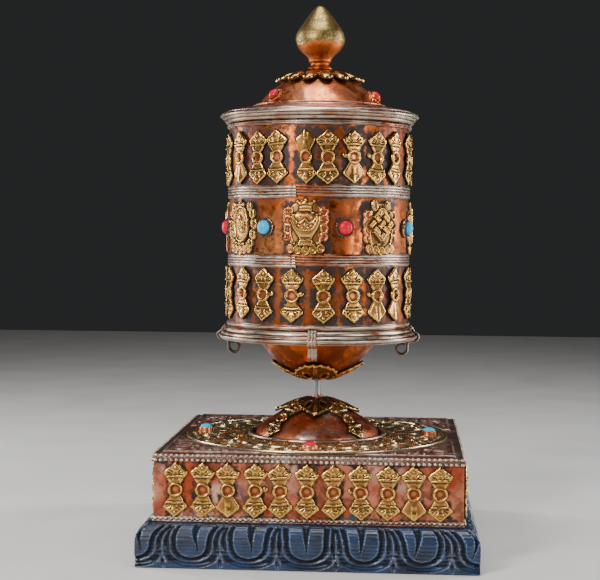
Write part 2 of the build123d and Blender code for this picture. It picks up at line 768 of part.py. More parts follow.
with BuildPart() as lid_bezels:
    for azimuth in lid_stone_azimuths:
        with BuildSketch(lid_plane(azimuth, -2.0)):
            Circle(lid_collar_radius)
    extrude(amount=2.0 + lid_collar_height)
    for azimuth in lid_stone_azimuths:
        with BuildSketch(lid_plane(azimuth, 0.7)):
            Circle(lid_stone_radius)
    extrude(amount=lid_collar_height, mode=Mode.SUBTRACT)
    with BuildSketch(Plane.XZ) as lid_filled:
        with BuildLine():
            ThreePointArc(lid_curve @ 0, (22.3, 251.8), lid_curve @ 1)
            Polyline(lid_curve @ 1, (0, lid_dome_top), (0, lid_dome_foot), lid_curve @ 0)
        make_face()
    revolve(axis=Axis.Z, mode=Mode.SUBTRACT)
save(lid_bezels, "lid_bezels")

with BuildPart() as small_stone:
    with BuildSketch(Plane.XZ) as small_stone_face:
        with BuildLine() as small_stone_line:
            stone_section(lid_stone_radius - 0.05, 1.2, 3.4)
        make_face()
    revolve(axis=Axis.Z)
with BuildPart() as lid_corals:
    with Locations(*[lid_plane(azimuth, 0.7).location for azimuth in lid_stone_azimuths]):
        add(small_stone.part)
save(lid_corals, "lid_corals")
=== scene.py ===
"""Looks of the table-top prayer wheel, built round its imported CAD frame.

Shapes are worked out in millimetres with numpy and turned into meshes in metres. A part is a
dictionary: "v" the vertices (n, 3), "f" a list of face arrays, "relief" a value per vertex that is
0.5 on plain metal, near 1 on worn edges and near 0 in recesses, and "tint" a second value per vertex
that a material may use. Azimuths are in degrees from the front (-Y) towards the right (+X).
"""
from math import cos, pi, radians, sin, sqrt

import bpy
import numpy as np
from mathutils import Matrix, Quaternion, Vector
from mathutils.geometry import tessellate_polygon


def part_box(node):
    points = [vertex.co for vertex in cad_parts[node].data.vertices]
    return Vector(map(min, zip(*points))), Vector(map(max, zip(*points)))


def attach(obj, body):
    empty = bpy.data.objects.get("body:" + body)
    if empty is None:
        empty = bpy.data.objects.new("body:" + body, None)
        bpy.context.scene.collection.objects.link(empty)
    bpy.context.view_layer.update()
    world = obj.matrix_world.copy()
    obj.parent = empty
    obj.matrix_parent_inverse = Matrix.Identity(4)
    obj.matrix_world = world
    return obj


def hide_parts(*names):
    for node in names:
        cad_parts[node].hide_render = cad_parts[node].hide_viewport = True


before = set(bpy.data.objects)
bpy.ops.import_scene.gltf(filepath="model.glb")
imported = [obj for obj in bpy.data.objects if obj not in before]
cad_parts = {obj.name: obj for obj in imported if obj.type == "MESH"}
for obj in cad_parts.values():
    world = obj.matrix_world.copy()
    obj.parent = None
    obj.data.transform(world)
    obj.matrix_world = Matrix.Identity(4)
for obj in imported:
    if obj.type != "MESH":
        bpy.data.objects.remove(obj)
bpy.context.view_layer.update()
MM = 0.001


# ---------------------------------------------------------------- numbers from the frame

def low(node):
    """Lowest corner of a CAD node's box, in mm."""
    return np.array(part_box(node)[0]) / MM


def high(node):
    """Highest corner of a CAD node's box, in mm."""
    return np.array(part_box(node)[1]) / MM


PLINTH_HALF = high("plinth")[0]
PLINTH_TOP = high("plinth")[2]
WALL_HALF = high("box_walls")[0]
PLATE_TOP = high("box_top_plate")[2]
SHELL_RADIUS = high("drum_shell")[0]
SHELL_LOW = low("drum_shell")[2]
SHELL_HIGH = high("drum_shell")[2]

# Where the plaques, symbols and stones stand round the drum, as in the CAD model.
UPPER_FRONT = (-72.6, -53.6, -36.6, -22.6, -4.6, 8.4, 24.4, 40.4, 56.4, 76.4, 89.4)
LOWER_FRONT = (-68.6, -49.6, -31.6, -12.6, 6.4, 24.4, 41.4, 57.4, 76.4)
HIDDEN_PLAQUES = 11


def all_round(front):
    """Places of a row: the uneven ones in front, then evenly spaced ones round the back."""
    gap = (360 - (front[-1] - front[0])) / (HIDDEN_PLAQUES + 1)
    return front + tuple(front[-1] + gap * step for step in range(1, HIDDEN_PLAQUES + 1))


UPPER_ROW, LOWER_ROW = all_round(UPPER_FRONT), all_round(LOWER_FRONT)
UPPER_HEIGHT, SYMBOL_HEIGHT, LOWER_HEIGHT = 210.2, 173.0, 137.3
SYMBOLS = {
    "parasol": -95.6, "conch": -52.6, "vase": -4.6, "knot": 44.4,
    "fishes": 91.4, "lotus": 134.4, "banner": 177.4, "wheel": 220.4,
}
CORALS = (-72.6, 19.0, 112.9, 198.9)
TURQUOISES = (-30.6, 72.0, 155.9, 242.4)
LID_STONES = (-46.6, 73.4, 193.4)


# ---------------------------------------------------------------- smooth noise and distances

def noise(points, size, seed):
    """Smooth noise from -1 to 1 at points (n, 3), with features of a size in mm."""
    lattice = np.random.default_rng(seed).uniform(-1, 1, (24, 24, 24))
    scaled = points / size
    cell = np.floor(scaled).astype(int)
    part = scaled - cell
    part = part * part * (3 - 2 * part)
    total = np.zeros(len(points))
    for corner in range(8):
        shift = np.array([corner & 1, corner >> 1 & 1, corner >> 2 & 1])
        index = (cell + shift) % 24
        weight = np.prod(np.where(shift, part, 1 - part), axis=1)
        total += weight * lattice[index[:, 0], index[:, 1], index[:, 2]]
    return total


def ring_points(radius, turn, height):
    """Points round the spindle, from radii, angles in radians from the front, and heights."""
    radius, turn, height = np.broadcast_arrays(radius, turn, height)
    return np.stack([radius * np.sin(turn), -radius * np.cos(turn), height], axis=-1)


def noise_over(sheet, size, seed):
    """Noise at every point of a sheet of points."""
    return noise(sheet.reshape(-1, 3), size, seed).reshape(sheet.shape[:-1])


def repeated(column, count):
    """A 1-D column repeated side by side."""
    return np.repeat(np.asarray(column)[:, None], count, axis=1)


def smoothstep(value, start, end):
    """0 up to start and 1 from end, with a smooth rise between them, or a fall when end is the lower."""
    t = np.clip((value - start) / (end - start), 0, 1)
    return t * t * (3 - 2 * t)


def blur(field, cells):
    """Gaussian blur of a 2-D array."""
    reach = int(cells * 3) + 1
    kernel = np.exp(-0.5 * (np.arange(-reach, reach + 1) / cells) ** 2)
    kernel /= kernel.sum()
    for axis in (0, 1):
        padded = np.pad(field, [(reach, reach) if a == axis else (0, 0) for a in (0, 1)], mode="edge")
        field = np.apply_along_axis(lambda row: np.convolve(row, kernel, mode="valid"), axis, padded)
    return field


def to_segment(u, v, a, b):
    """Distance from (u, v) to the straight line from a to b."""
    du, dv = b[0] - a[0], b[1] - a[1]
    t = np.clip(((u - a[0]) * du + (v - a[1]) * dv) / (du * du + dv * dv + 1e-9), 0, 1)
    return np.hypot(u - a[0] - t * du, v - a[1] - t * dv)


def to_line(u, v, points):
    """Distance to a chain of straight lines."""
    distance = np.full(np.shape(u), 1e9)
    for a, b in zip(points[:-1], points[1:]):
        distance = np.minimum(distance, to_segment(u, v, a, b))
    return distance


def to_polygon(u, v, points):
    """Signed distance to a closed outline, negative inside."""
    distance = to_line(u, v, list(points) + [points[0]])
    inside = np.zeros(np.shape(u), bool)
    for (x0, y0), (x1, y1) in zip(points, list(points[1:]) + [points[0]]):
        crosses = (y0 > v) != (y1 > v)
        slope = (x1 - x0) / (y1 - y0) if y1 != y0 else 0.0
        inside ^= crosses & (u < x0 + slope * (v - y0))
    return np.where(inside, -distance, distance)


def to_circle(u, v, x, y, radius):
    """Signed distance to a circle, negative inside."""
    return np.hypot(u - x, v - y) - radius


def to_oval(u, v, x, y, half_x, half_y, tilt=0.0):
    """Roughly the signed distance to an ellipse turned by tilt degrees."""
    c, s = cos(radians(tilt)), sin(radians(tilt))
    du, dv = (u - x) * c + (v - y) * s, (v - y) * c - (u - x) * s
    k = np.hypot(du / half_x, dv / half_y)
    slope = np.hypot(du / half_x**2, dv / half_y**2)
    return (k - 1) * k / (slope + 1e-6)


def arc(x, y, radius, start, end, steps=14, radius_end=None):
    """Points along an arc, or along a spiral when it ends at another radius."""
    last = radius if radius_end is None else radius_end
    turn = np.radians(np.linspace(start, end, steps))
    reach = np.linspace(radius, last, steps)
    return [(x + r * cos(a), y + r * sin(a)) for r, a in zip(reach, turn)]


def mirrored(points, side):
    """Points with their x turned round when side is -1."""
    return [(side * x, y) for x, y in points]


def run_along(line):
    """Distance from the start of a chain to each of its points."""
    return np.concatenate([[0], np.cumsum(np.hypot(*np.diff(line, axis=0).T))])


def line_normals(line):
    """Unit normals on the right-hand side of a chain of points."""
    tangent = np.gradient(line, axis=0)
    tangent /= np.maximum(np.linalg.norm(tangent, axis=1), 1e-9)[:, None]
    return np.stack([tangent[:, 1], -tangent[:, 0]], axis=1)


def ridge(distance, half_width, height):
    """Rounded ridge along distance 0."""
    return height * np.sqrt(np.clip(1 - (distance / half_width) ** 2, 0, 1))


def swell(distance, depth, height):
    """Pillow that rises from the edge of an outline to a height at some depth inside it."""
    return height * np.sqrt(np.clip(1 - (1 - np.clip(-distance / depth, 0, 1)) ** 2, 0, 1))


# ---------------------------------------------------------------- parts

def join(parts):
    """One part out of several."""
    faces, start = [], 0
    for part in parts:
        faces += [block + start for block in part["f"]]
        start += len(part["v"])
    merged = {"v": np.concatenate([p["v"] for p in parts]), "f": faces}
    for key in ("relief", "tint"):
        merged[key] = np.concatenate([p.get(key, np.full(len(p["v"]), 0.5 if key == "relief" else 0.0))
                                      for p in parts])
    return merged


def grid(points, close_u=False, close_v=False, relief=None, tint=None):
    """A part from a sheet of points (rows, columns, 3), closed round either way if asked."""
    rows, columns = points.shape[:2]
    index = np.arange(rows * columns).reshape(rows, columns)
    if close_u:
        index = np.vstack([index, index[:1]])
    if close_v:
        index = np.hstack([index, index[:, :1]])
    quads = np.stack([index[:-1, :-1], index[:-1, 1:], index[1:, 1:], index[1:, :-1]], axis=-1)
    part = {"v": points.reshape(-1, 3), "f": [quads.reshape(-1, 4)]}
    if relief is not None:
        part["relief"] = relief.reshape(-1)
    if tint is not None:
        part["tint"] = tint.reshape(-1)
    return part


class Drawing:
    """Pressed design on a grid: an outline, a face height and a tint, built up stroke by stroke."""

    def __init__(self, u, v, plate):
        self.u, self.v, self.plate = u, v, plate
        self.edge = np.full(u.shape, 1e3)
        self.face = np.full(u.shape, float(plate))
        self.tint = np.zeros(u.shape)

    def shape(self, distance, height=0.0, depth=1.5, margin=0.0):
        """A raised field inside an outline."""
        self.edge = np.minimum(self.edge, distance - margin)
        raised = np.maximum(self.face, self.plate + swell(distance, depth, height))
        self.face = np.where(distance < 0, raised, self.face)

    def stroke(self, distance, half_width, height, margin=0.35):
        """A rounded bar along distance 0, which also widens the outline unless margin is None."""
        if margin is not None:
            self.edge = np.minimum(self.edge, distance - half_width - margin)
        bar = np.where(distance < half_width, self.plate + ridge(distance, half_width, height), 0)
        self.face = np.maximum(self.face, bar)

    def on_top(self, distance, half_width, height):
        """A rounded bar added to what is already there."""
        self.face = self.face + ridge(distance, half_width, height)

    def emboss(self, inside, distance, half_width, height):
        """A rounded bar added only where inside holds."""
        self.face = self.face + np.where(inside, ridge(distance, half_width, height), 0)

    def groove(self, distance, half_width, depth):
        """A rounded channel cut into what is already there."""
        self.face = self.face - ridge(distance, half_width, depth)

    def bead(self, x, y, radius, height, margin=0.3):
        """A raised dot."""
        self.stroke(np.hypot(self.u - x, self.v - y), radius, height, margin)


def pressed(draw, half_u, half_v, step, plate=0.8, base=-0.25, scale=0.35, floor=True):
    """Closed pressed-metal relief lying in the uv plane, w up. draw(u, v, plate) makes its Drawing."""
    u, v = np.meshgrid(np.arange(-half_u - step, half_u + 2 * step, step),
                       np.arange(-half_v - step, half_v + 2 * step, step))
    design = draw(u, v, plate)
    edge, face = design.edge, design.face
    hollow = blur(face, 0.55 / step)
    relief = np.clip(0.5 + (face - hollow) / scale, 0, 1)
    slope_v, slope_u = np.gradient(edge, step)
    steep = np.maximum(np.hypot(slope_u, slope_v), 0.3)
    near = edge > -0.35 * step
    pull = np.where(near, edge, 0) / steep**2
    pull = np.clip(pull, -step, step)
    u2, v2 = u - pull * slope_u, v - pull * slope_v
    index = np.arange(u.size).reshape(u.shape)
    quads = np.stack([index[:-1, :-1], index[:-1, 1:], index[1:, 1:], index[1:, :-1]], axis=-1)
    quads = quads.reshape(-1, 4)
    quads = quads[(edge.reshape(-1)[quads] < 0.75 * step).all(axis=1)]
    used, quads = np.unique(quads, return_inverse=True)
    quads = quads.reshape(-1, 4)
    top = np.stack([u2.ravel()[used], v2.ravel()[used], face.ravel()[used]], axis=1)
    sides = np.concatenate([quads[:, [i, (i + 1) % 4]] for i in range(4)])
    edges = dict.fromkeys((a, b) for a, b in sides)
    rim = [(a, b) for a, b in edges if (b, a) not in edges]
    rim_points = sorted({a for a, b in rim} | {b for a, b in rim})
    place = {point: len(top) + i for i, point in enumerate(rim_points)}
    skirt = top[rim_points].copy()
    skirt[:, 2] = base
    walls = np.array([(b, a, place[a], place[b]) for a, b in rim])
    faces = [quads, walls]
    if floor:
        follow = {}
        for a, b in rim:
            follow.setdefault(a, []).append(b)
        loops = []
        while follow:
            start = next(iter(follow))
            loop, here = [], start
            while here in follow:
                onward = follow[here].pop()
                if not follow[here]:
                    del follow[here]
                loop.append(here)
                here = onward
            loops.append(loop)
        flat = [[Vector((top[p, 0], top[p, 1], 0)) for p in loop] for loop in loops]
        order = [place[p] for loop in loops for p in loop]
        triangles = np.array(tessellate_polygon(flat))
        corners = np.array(order)[triangles]
        xy = np.concatenate([top, skirt])[:, :2]
        a, b, c = xy[corners[:, 0]], xy[corners[:, 1]], xy[corners[:, 2]]
        ccw = (b - a)[:, 0] * (c - a)[:, 1] - (b - a)[:, 1] * (c - a)[:, 0] > 0
        corners[ccw] = corners[ccw][:, ::-1]
        faces.append(corners)
    part = {"v": np.concatenate([top, skirt]), "f": faces,
            "relief": np.concatenate([relief.ravel()[used], np.full(len(skirt), 0.12)])}
    part["tint"] = np.concatenate([design.tint.ravel()[used], np.zeros(len(skirt))])
    return part


def turned(part, tilt=0.0, lean=0.0, size=1.0, lift=0.0):
    """The part turned in its plane by tilt degrees, leaning sideways by lean degrees, and scaled."""
    c, s = cos(radians(tilt)), sin(radians(tilt))
    moved = dict(part)
    x, y, z = part["v"].T
    moved["v"] = np.stack([(x * c - y * s) * size, (x * s + y * c) * size,
                           z + np.tan(radians(lean)) * x + lift], axis=1)
    return moved


def scaled(part, x=1.0, y=1.0, z=1.0):
    """The part stretched along its axes."""
    moved = dict(part)
    moved["v"] = part["v"] * np.array([x, y, z])
    return moved


def round_drum(part, azimuth, height):
    """Bend a flat part round the drum."""
    x, y, z = part["v"].T
    angle = radians(azimuth) + x / SHELL_RADIUS
    moved = dict(part)
    moved["v"] = ring_points(SHELL_RADIUS + z, angle, height + y)
    return moved


def on_wall(part, azimuth, across, height, distance):
    """Stand a flat part on one of the four walls."""
    x, y, z = part["v"].T
    a = radians(azimuth)
    out = distance + z
    along = across + x
    moved = dict(part)
    moved["v"] = np.stack([along * cos(a) + out * sin(a), along * sin(a) - out * cos(a), height + y], axis=1)
    return moved


def on_plane(part, origin, x_axis, y_axis, z_axis):
    """Place a flat part with its axes along three directions."""
    x, y, z = part["v"].T
    moved = dict(part)
    moved["v"] = (np.array(origin) + np.outer(x, x_axis) + np.outer(y, y_axis) + np.outer(z, z_axis))
    return moved


def compass(azimuth):
    """Outward and sideways directions at an azimuth."""
    a = radians(azimuth)
    return np.array([sin(a), -cos(a), 0.0]), np.array([cos(a), sin(a), 0.0])


def spun(part, azimuth):
    """Turn a part about the spindle."""
    c, s = cos(radians(azimuth)), sin(radians(azimuth))
    moved = dict(part)
    x, y, z = part["v"].T
    moved["v"] = np.stack([x * c - y * s, x * s + y * c, z], axis=1)
    return moved


def resample(points, step):
    """Evenly spaced points along a chain."""
    points = np.array(points, float)
    total = run_along(points)
    count = max(int(total[-1] / step), 2)
    at = np.linspace(0, total[-1], count + 1)
    return np.stack([np.interp(at, total, points[:, k]) for k in (0, 1)], axis=1)


def spline(points, per_span=12):
    """Catmull-Rom curve through points."""
    p = np.array(points, float)
    p = np.vstack([2 * p[0] - p[1], p, 2 * p[-1] - p[-2]])
    out = []
    for k in range(1, len(p) - 2):
        t = np.linspace(0, 1, per_span, endpoint=False)[:, None]
        a, b, c, d = p[k - 1], p[k], p[k + 1], p[k + 2]
        out.append(0.5 * (2 * b + (c - a) * t + (2 * a - 5 * b + 4 * c - d) * t**2
                          + (3 * b - a - 3 * c + d) * t**3))
    out.append(p[-2:-1])
    return np.vstack(out)


def edge_wear(profile, reach=1.3, scale=0.28):
    """Relief value along a profile: high on ridges, low in grooves."""
    step = np.hypot(*(profile[1] - profile[0]))
    cells = max(reach / step / 2, 1.0)
    span = int(cells * 3) + 1
    kernel = np.exp(-0.5 * (np.arange(-span, span + 1) / cells) ** 2)
    kernel /= kernel.sum()
    soft = np.stack([np.convolve(np.pad(profile[:, k], span, mode="reflect", reflect_type="odd"),
                                 kernel, mode="valid") for k in (0, 1)], axis=1)
    return np.clip(0.5 + ((profile - soft) * line_normals(profile)).sum(axis=1) / scale, 0, 1)


def lathe(profile, segments, dent=0.0, dent_size=9.0, seed=1, step=0.5, closed=False, wear_scale=0.28):
    """Turn a profile of (radius, height), listed from the bottom of its outside upwards."""
    line = resample(profile, step)
    if closed:
        line = line[:-1]
    angle = np.linspace(0, 2 * pi, segments, endpoint=False)
    radius = repeated(line[:, 0], segments)
    sheet = ring_points(radius, angle, line[:, 1][:, None])
    if dent:
        bump = noise_over(sheet, dent_size, seed) + 0.4 * noise_over(sheet, dent_size / 2.6, seed + 1)
        fade = np.minimum(1, radius / 4)
        sheet[..., 0] += dent * bump * np.sin(angle) * fade
        sheet[..., 1] -= dent * bump * np.cos(angle) * fade
        sheet[..., 2] += dent * 0.4 * bump * fade
    relief = repeated(edge_wear(line, scale=wear_scale), segments)
    return grid(sheet, close_u=closed, close_v=True, relief=relief)


def tube(path, radius, sides=10, closed=False):
    """Round wire along 3-D points."""
    path = np.array(path, float)
    ahead = np.roll(path, -1, axis=0) - np.roll(path, 1, axis=0)
    if not closed:
        ahead[0], ahead[-1] = path[1] - path[0], path[-1] - path[-2]
    ahead /= np.linalg.norm(ahead, axis=1)[:, None]
    side = np.cross(ahead, (0.0, 0.0, 1.0))
    side /= np.maximum(np.linalg.norm(side, axis=1), 1e-6)[:, None]
    over = np.cross(side, ahead)
    angle = np.linspace(2 * pi, 0, sides, endpoint=False)
    ring = path[:, None, :] + radius * (np.cos(angle)[None, :, None] * side[:, None, :]
                                        + np.sin(angle)[None, :, None] * over[:, None, :])
    # Painted light and shade: relief rises on the top of the wire and falls underneath, so the top shows
    # lighter and the underside darker.
    relief = 0.5 + 0.35 * np.sin(angle)[None, :] + np.zeros((len(path), 1))
    part = grid(ring, close_u=closed, close_v=True, relief=relief)
    if not closed:
        last = (len(path) - 1) * sides
        part["f"].append(np.arange(sides)[::-1][None, :])
        part["f"].append((last + np.arange(sides))[None, :])
    return part


def blob(centre, radius, squash=1.0, rings=7, sides=10, axis=(0, 0, 1)):
    """A bead."""
    w = np.array(axis, float)
    w /= np.linalg.norm(w)
    u = np.cross(w, (0.31, 0.87, 0.38))
    u /= np.linalg.norm(u)
    v = np.cross(w, u)
    lat = np.linspace(-pi / 2, pi / 2, rings)[1:-1]
    lon = np.linspace(0, 2 * pi, sides, endpoint=False)
    ring = (np.cos(lat)[:, None, None] * (np.cos(lon)[None, :, None] * u + np.sin(lon)[None, :, None] * v)
            + squash * np.sin(lat)[:, None, None] * w)
    part = grid(np.array(centre) + radius * ring, close_v=True,
                relief=(0.5 + 0.45 * np.sin(lat))[:, None] + np.zeros(sides))
    count = len(part["v"])
    poles = np.array(centre) + radius * squash * np.array([-w, w])
    part["v"] = np.vstack([part["v"], poles])
    part["relief"] = np.concatenate([part["relief"], [0.1, 0.95]])
    ring_index = np.arange(sides)
    after = (ring_index + 1) % sides
    top = count - sides
    part["f"].append(np.stack([after, ring_index, np.full(sides, count)], axis=1))
    part["f"].append(np.stack([top + ring_index, top + after, np.full(sides, count + 1)], axis=1))
    return part


def piece(name, part, body, mat, slot, *nodes, smooth=True):
    """Make a Blender object of a part, riding on a body and standing for CAD nodes."""
    mesh = bpy.data.meshes.new(name)
    vertices = part["v"] * MM
    mesh.vertices.add(len(vertices))
    mesh.vertices.foreach_set("co", vertices.astype(np.float32).ravel())
    blocks = [np.asarray(block) for block in part["f"] if len(block)]
    corners = np.concatenate([block.ravel() for block in blocks])
    sizes = np.concatenate([np.full(len(block), block.shape[1]) for block in blocks])
    mesh.loops.add(len(corners))
    mesh.loops.foreach_set("vertex_index", corners.astype(np.int32))
    mesh.polygons.add(len(sizes))
    mesh.polygons.foreach_set("loop_start", np.concatenate([[0], np.cumsum(sizes)[:-1]]).astype(np.int32))
    mesh.update(calc_edges=True)
    mesh.validate()
    for key, default in (("relief", 0.5), ("tint", 0.0)):
        values = part.get(key)
        if values is None:
            values = np.full(len(vertices), default)
        layer = mesh.attributes.new(key, "FLOAT", "POINT")
        layer.data.foreach_set("value", np.asarray(values, np.float32))
    mesh.polygons.foreach_set("use_smooth", np.full(len(mesh.polygons), smooth))
    mesh.materials.append(mat)
    made = bpy.data.objects.new(name, mesh)
    bpy.context.scene.collection.objects.link(made)
    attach(made, body)
    if nodes:
        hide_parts(*nodes)
    return made


# ---------------------------------------------------------------- materials

class Look:
    """Short names for the nodes of one material."""

    def __init__(self, name, rough=0.4, metal=1.0):
        self.mat = bpy.data.materials.new(name)
        self.mat.use_nodes = True
        self.tree = self.mat.node_tree
        self.shader = self.tree.nodes["Principled BSDF"]
        self.shader.inputs["Metallic"].default_value = metal
        self.shader.inputs["Roughness"].default_value = rough
        self.place = self.tree.nodes.new("ShaderNodeTexCoord").outputs["Object"]

    def node(self, kind, **settings):
        made = self.tree.nodes.new(kind)
        for key, value in settings.items():
            setattr(made, key, value)
        return made

    def feed(self, socket, value):
        """Link a node's output to a socket, or set the socket to a plain value."""
        if isinstance(value, bpy.types.NodeSocket):
            self.tree.links.new(value, socket)
        else:
            socket.default_value = value

    def value(self, name):
        """A mesh attribute, relief or tint."""
        return self.node("ShaderNodeAttribute", attribute_name=name).outputs["Fac"]

    def stretch(self, x, y, z):
        """Place with each axis scaled, so that a low number draws the noise out along its axis."""
        mapping = self.node("ShaderNodeMapping")
        self.feed(mapping.inputs["Vector"], self.place)
        mapping.inputs["Scale"].default_value = (x, y, z)
        return mapping.outputs["Vector"]

    def noise(self, size, detail=3.0, rough=0.55, where=None, warp=0.0, offset=0.0):
        """Noise from 0 to 1 with features of a size in mm."""
        made = self.node("ShaderNodeTexNoise")
        where = self.place if where is None else where
        if offset:
            shift = self.node("ShaderNodeVectorMath", operation="ADD")
            self.feed(shift.inputs[0], where)
            shift.inputs[1].default_value = (offset, offset * 0.7, offset * 1.3)
            where = shift.outputs[0]
        self.feed(made.inputs["Vector"], where)
        made.inputs["Scale"].default_value = 1000.0 / size
        made.inputs["Detail"].default_value = detail
        made.inputs["Roughness"].default_value = rough
        made.inputs["Distortion"].default_value = warp
        return made.outputs["Fac"]

    def between(self, value, start, end, low_value=0.0, high_value=1.0):
        """Smooth step from start to end."""
        made = self.node("ShaderNodeMapRange", interpolation_type="SMOOTHSTEP")
        self.feed(made.inputs["Value"], value)
        for socket, number in zip(("From Min", "From Max", "To Min", "To Max"),
                                  (start, end, low_value, high_value)):
            made.inputs[socket].default_value = number
        return made.outputs["Result"]

    def math(self, operation, a, b=0.0):
        made = self.node("ShaderNodeMath", operation=operation)
        self.feed(made.inputs[0], a)
        self.feed(made.inputs[1], b)
        return made.outputs[0]

    def plus(self, a, b):
        return self.math("ADD", a, b)

    def times(self, a, b):
        return self.math("MULTIPLY", a, b)

    def swing(self, value, amount):
        """A value from 0 to 1 turned into one that swings about 0."""
        return self.times(self.math("SUBTRACT", value, 0.5), amount)

    def mix(self, amount, a, b):
        made = self.node("ShaderNodeMix", data_type="RGBA")
        self.feed(made.inputs["Factor"], amount)
        for socket, colour in ((made.inputs[6], a), (made.inputs[7], b)):
            self.feed(socket, colour if isinstance(colour, bpy.types.NodeSocket) else (*colour, 1.0))
        return made.outputs[2]

    def bump(self, height, strength, distance, onto=None):
        made = self.node("ShaderNodeBump")
        self.feed(made.inputs["Height"], height)
        made.inputs["Strength"].default_value = strength
        made.inputs["Distance"].default_value = distance * MM
        if onto is not None:
            self.feed(made.inputs["Normal"], onto)
        return made.outputs["Normal"]

    def along(self, axis):
        """Place along one axis, in metres."""
        split = self.node("ShaderNodeSeparateXYZ")
        self.feed(split.inputs[0], self.place)
        return split.outputs[axis]

    def finish(self, colour, rough=None, normal=None, metal=None):
        """Connect the shader and hand back the material."""
        self.feed(self.shader.inputs["Base Color"], colour)
        if rough is not None:
            self.feed(self.shader.inputs["Roughness"], rough)
        if metal is not None:
            self.feed(self.shader.inputs["Metallic"], metal)
        if normal is not None:
            self.feed(self.shader.inputs["Normal"], normal)
        return self.mat


BLACKENED = (0.026, 0.019, 0.018)


def copper_look(name, bright, warm, pale, tarnish=0.5, spots=0.6, polish=0.3, verdigris=0.0):
    """Old sheet copper: bright and pinkish areas, brown tarnish, black oxide in random patches, and black
    where tint is high, which on the shell, walls and top plate is painted shade.
    """
    look = Look(name)
    tone = look.noise(22, 4, 0.6, warp=0.6)
    fine = look.noise(3.2, 4, 0.65, offset=0.3)
    colour = look.mix(look.between(tone, 0.38, 0.62), bright, warm)
    colour = look.mix(look.between(look.noise(34, 3, 0.6, offset=0.9), 0.54, 0.72), colour, pale)
    brown = look.between(look.plus(look.noise(12, 5, 0.62, warp=0.8, offset=0.5),
                                   look.times(fine, 0.25)), 0.78 - 0.25 * tarnish, 0.9 - 0.2 * tarnish)
    colour = look.mix(look.times(brown, 0.75), colour, (0.16, 0.055, 0.028))
    # Tint plus noise: the noise gives random black oxide patches, and the tint adds painted shade beside and
    # under fitted parts.
    shade_and_oxide = look.plus(look.value("tint"), look.swing(fine, 0.9))
    shade_and_oxide = look.plus(shade_and_oxide, look.swing(look.noise(8, 3, 0.55, warp=0.5, offset=1.7), 1.2))
    black = look.between(shade_and_oxide, 0.42, 0.70)
    colour = look.mix(look.times(black, 0.96), colour, BLACKENED)
    if verdigris:
        green = look.times(look.between(look.noise(19, 4, 0.7, warp=0.7, offset=3.1), 0.56, 0.66), verdigris)
        colour = look.mix(look.times(green, look.between(look.along(2), 0.052, 0.026)), colour,
                          (0.012, 0.10, 0.13))
    worn = look.between(look.value("relief"), 0.62, 0.95)
    colour = look.mix(look.times(worn, 0.5), colour, pale)
    pits = look.between(look.noise(1.5, 2, 0.5, offset=2.1), 0.68, 0.76)
    colour = look.mix(look.times(pits, spots), colour, (0.05, 0.025, 0.02))
    rough = look.plus(look.between(fine, 0.3, 0.7, polish, polish + 0.16),
                      look.times(look.math("MAXIMUM", black, brown), 0.2))
    metal = look.between(black, 0.0, 1.0, 1.0, 0.55)
    scratch = look.noise(1.0, 3, 0.7, where=look.stretch(1.0, 1.0, 7.0))
    normal = look.bump(scratch, 0.12, 0.08)
    normal = look.bump(look.noise(6, 3, 0.5, offset=0.2), 0.35, 0.25, normal)
    return look.finish(colour, rough, normal, metal)


def brass_look(name, bright=(0.70, 0.41, 0.11), mid=(0.32, 0.145, 0.032), rosy=(0.46, 0.16, 0.055),
               dark=0.43):
    """Antique pressed brass: dark recesses, rubbed ridges, and copper blushing through."""
    look = Look(name)
    relief = look.value("relief")
    fine = look.noise(1.4, 3, 0.6)
    level = look.plus(relief, look.swing(fine, 0.2))
    large = look.noise(13, 3, 0.6, warp=0.4, offset=0.4)
    colour = look.mix(look.between(large, 0.5, 0.68), mid, rosy)
    colour = look.mix(look.between(level, dark, dark + 0.26), colour, bright)
    recess = look.between(level, dark - 0.36, dark + 0.02, 1.0, 0.0)
    colour = look.mix(look.times(recess, 0.94), colour, (0.03, 0.017, 0.008))
    blush = look.plus(look.value("tint"), look.swing(large, 1.4))
    copper = look.mix(look.between(level, dark - 0.25, dark + 0.2), (0.24, 0.055, 0.018), (0.66, 0.24, 0.09))
    colour = look.mix(look.between(blush, 0.35, 0.85), colour, copper)
    rough = look.between(level, 0.2, 0.7, 0.50, 0.24)
    metal = look.between(recess, 0.0, 1.0, 1.0, 0.6)
    normal = look.bump(look.noise(1.1, 2, 0.6, offset=0.8), 0.2, 0.08)
    return look.finish(colour, rough, normal, metal)


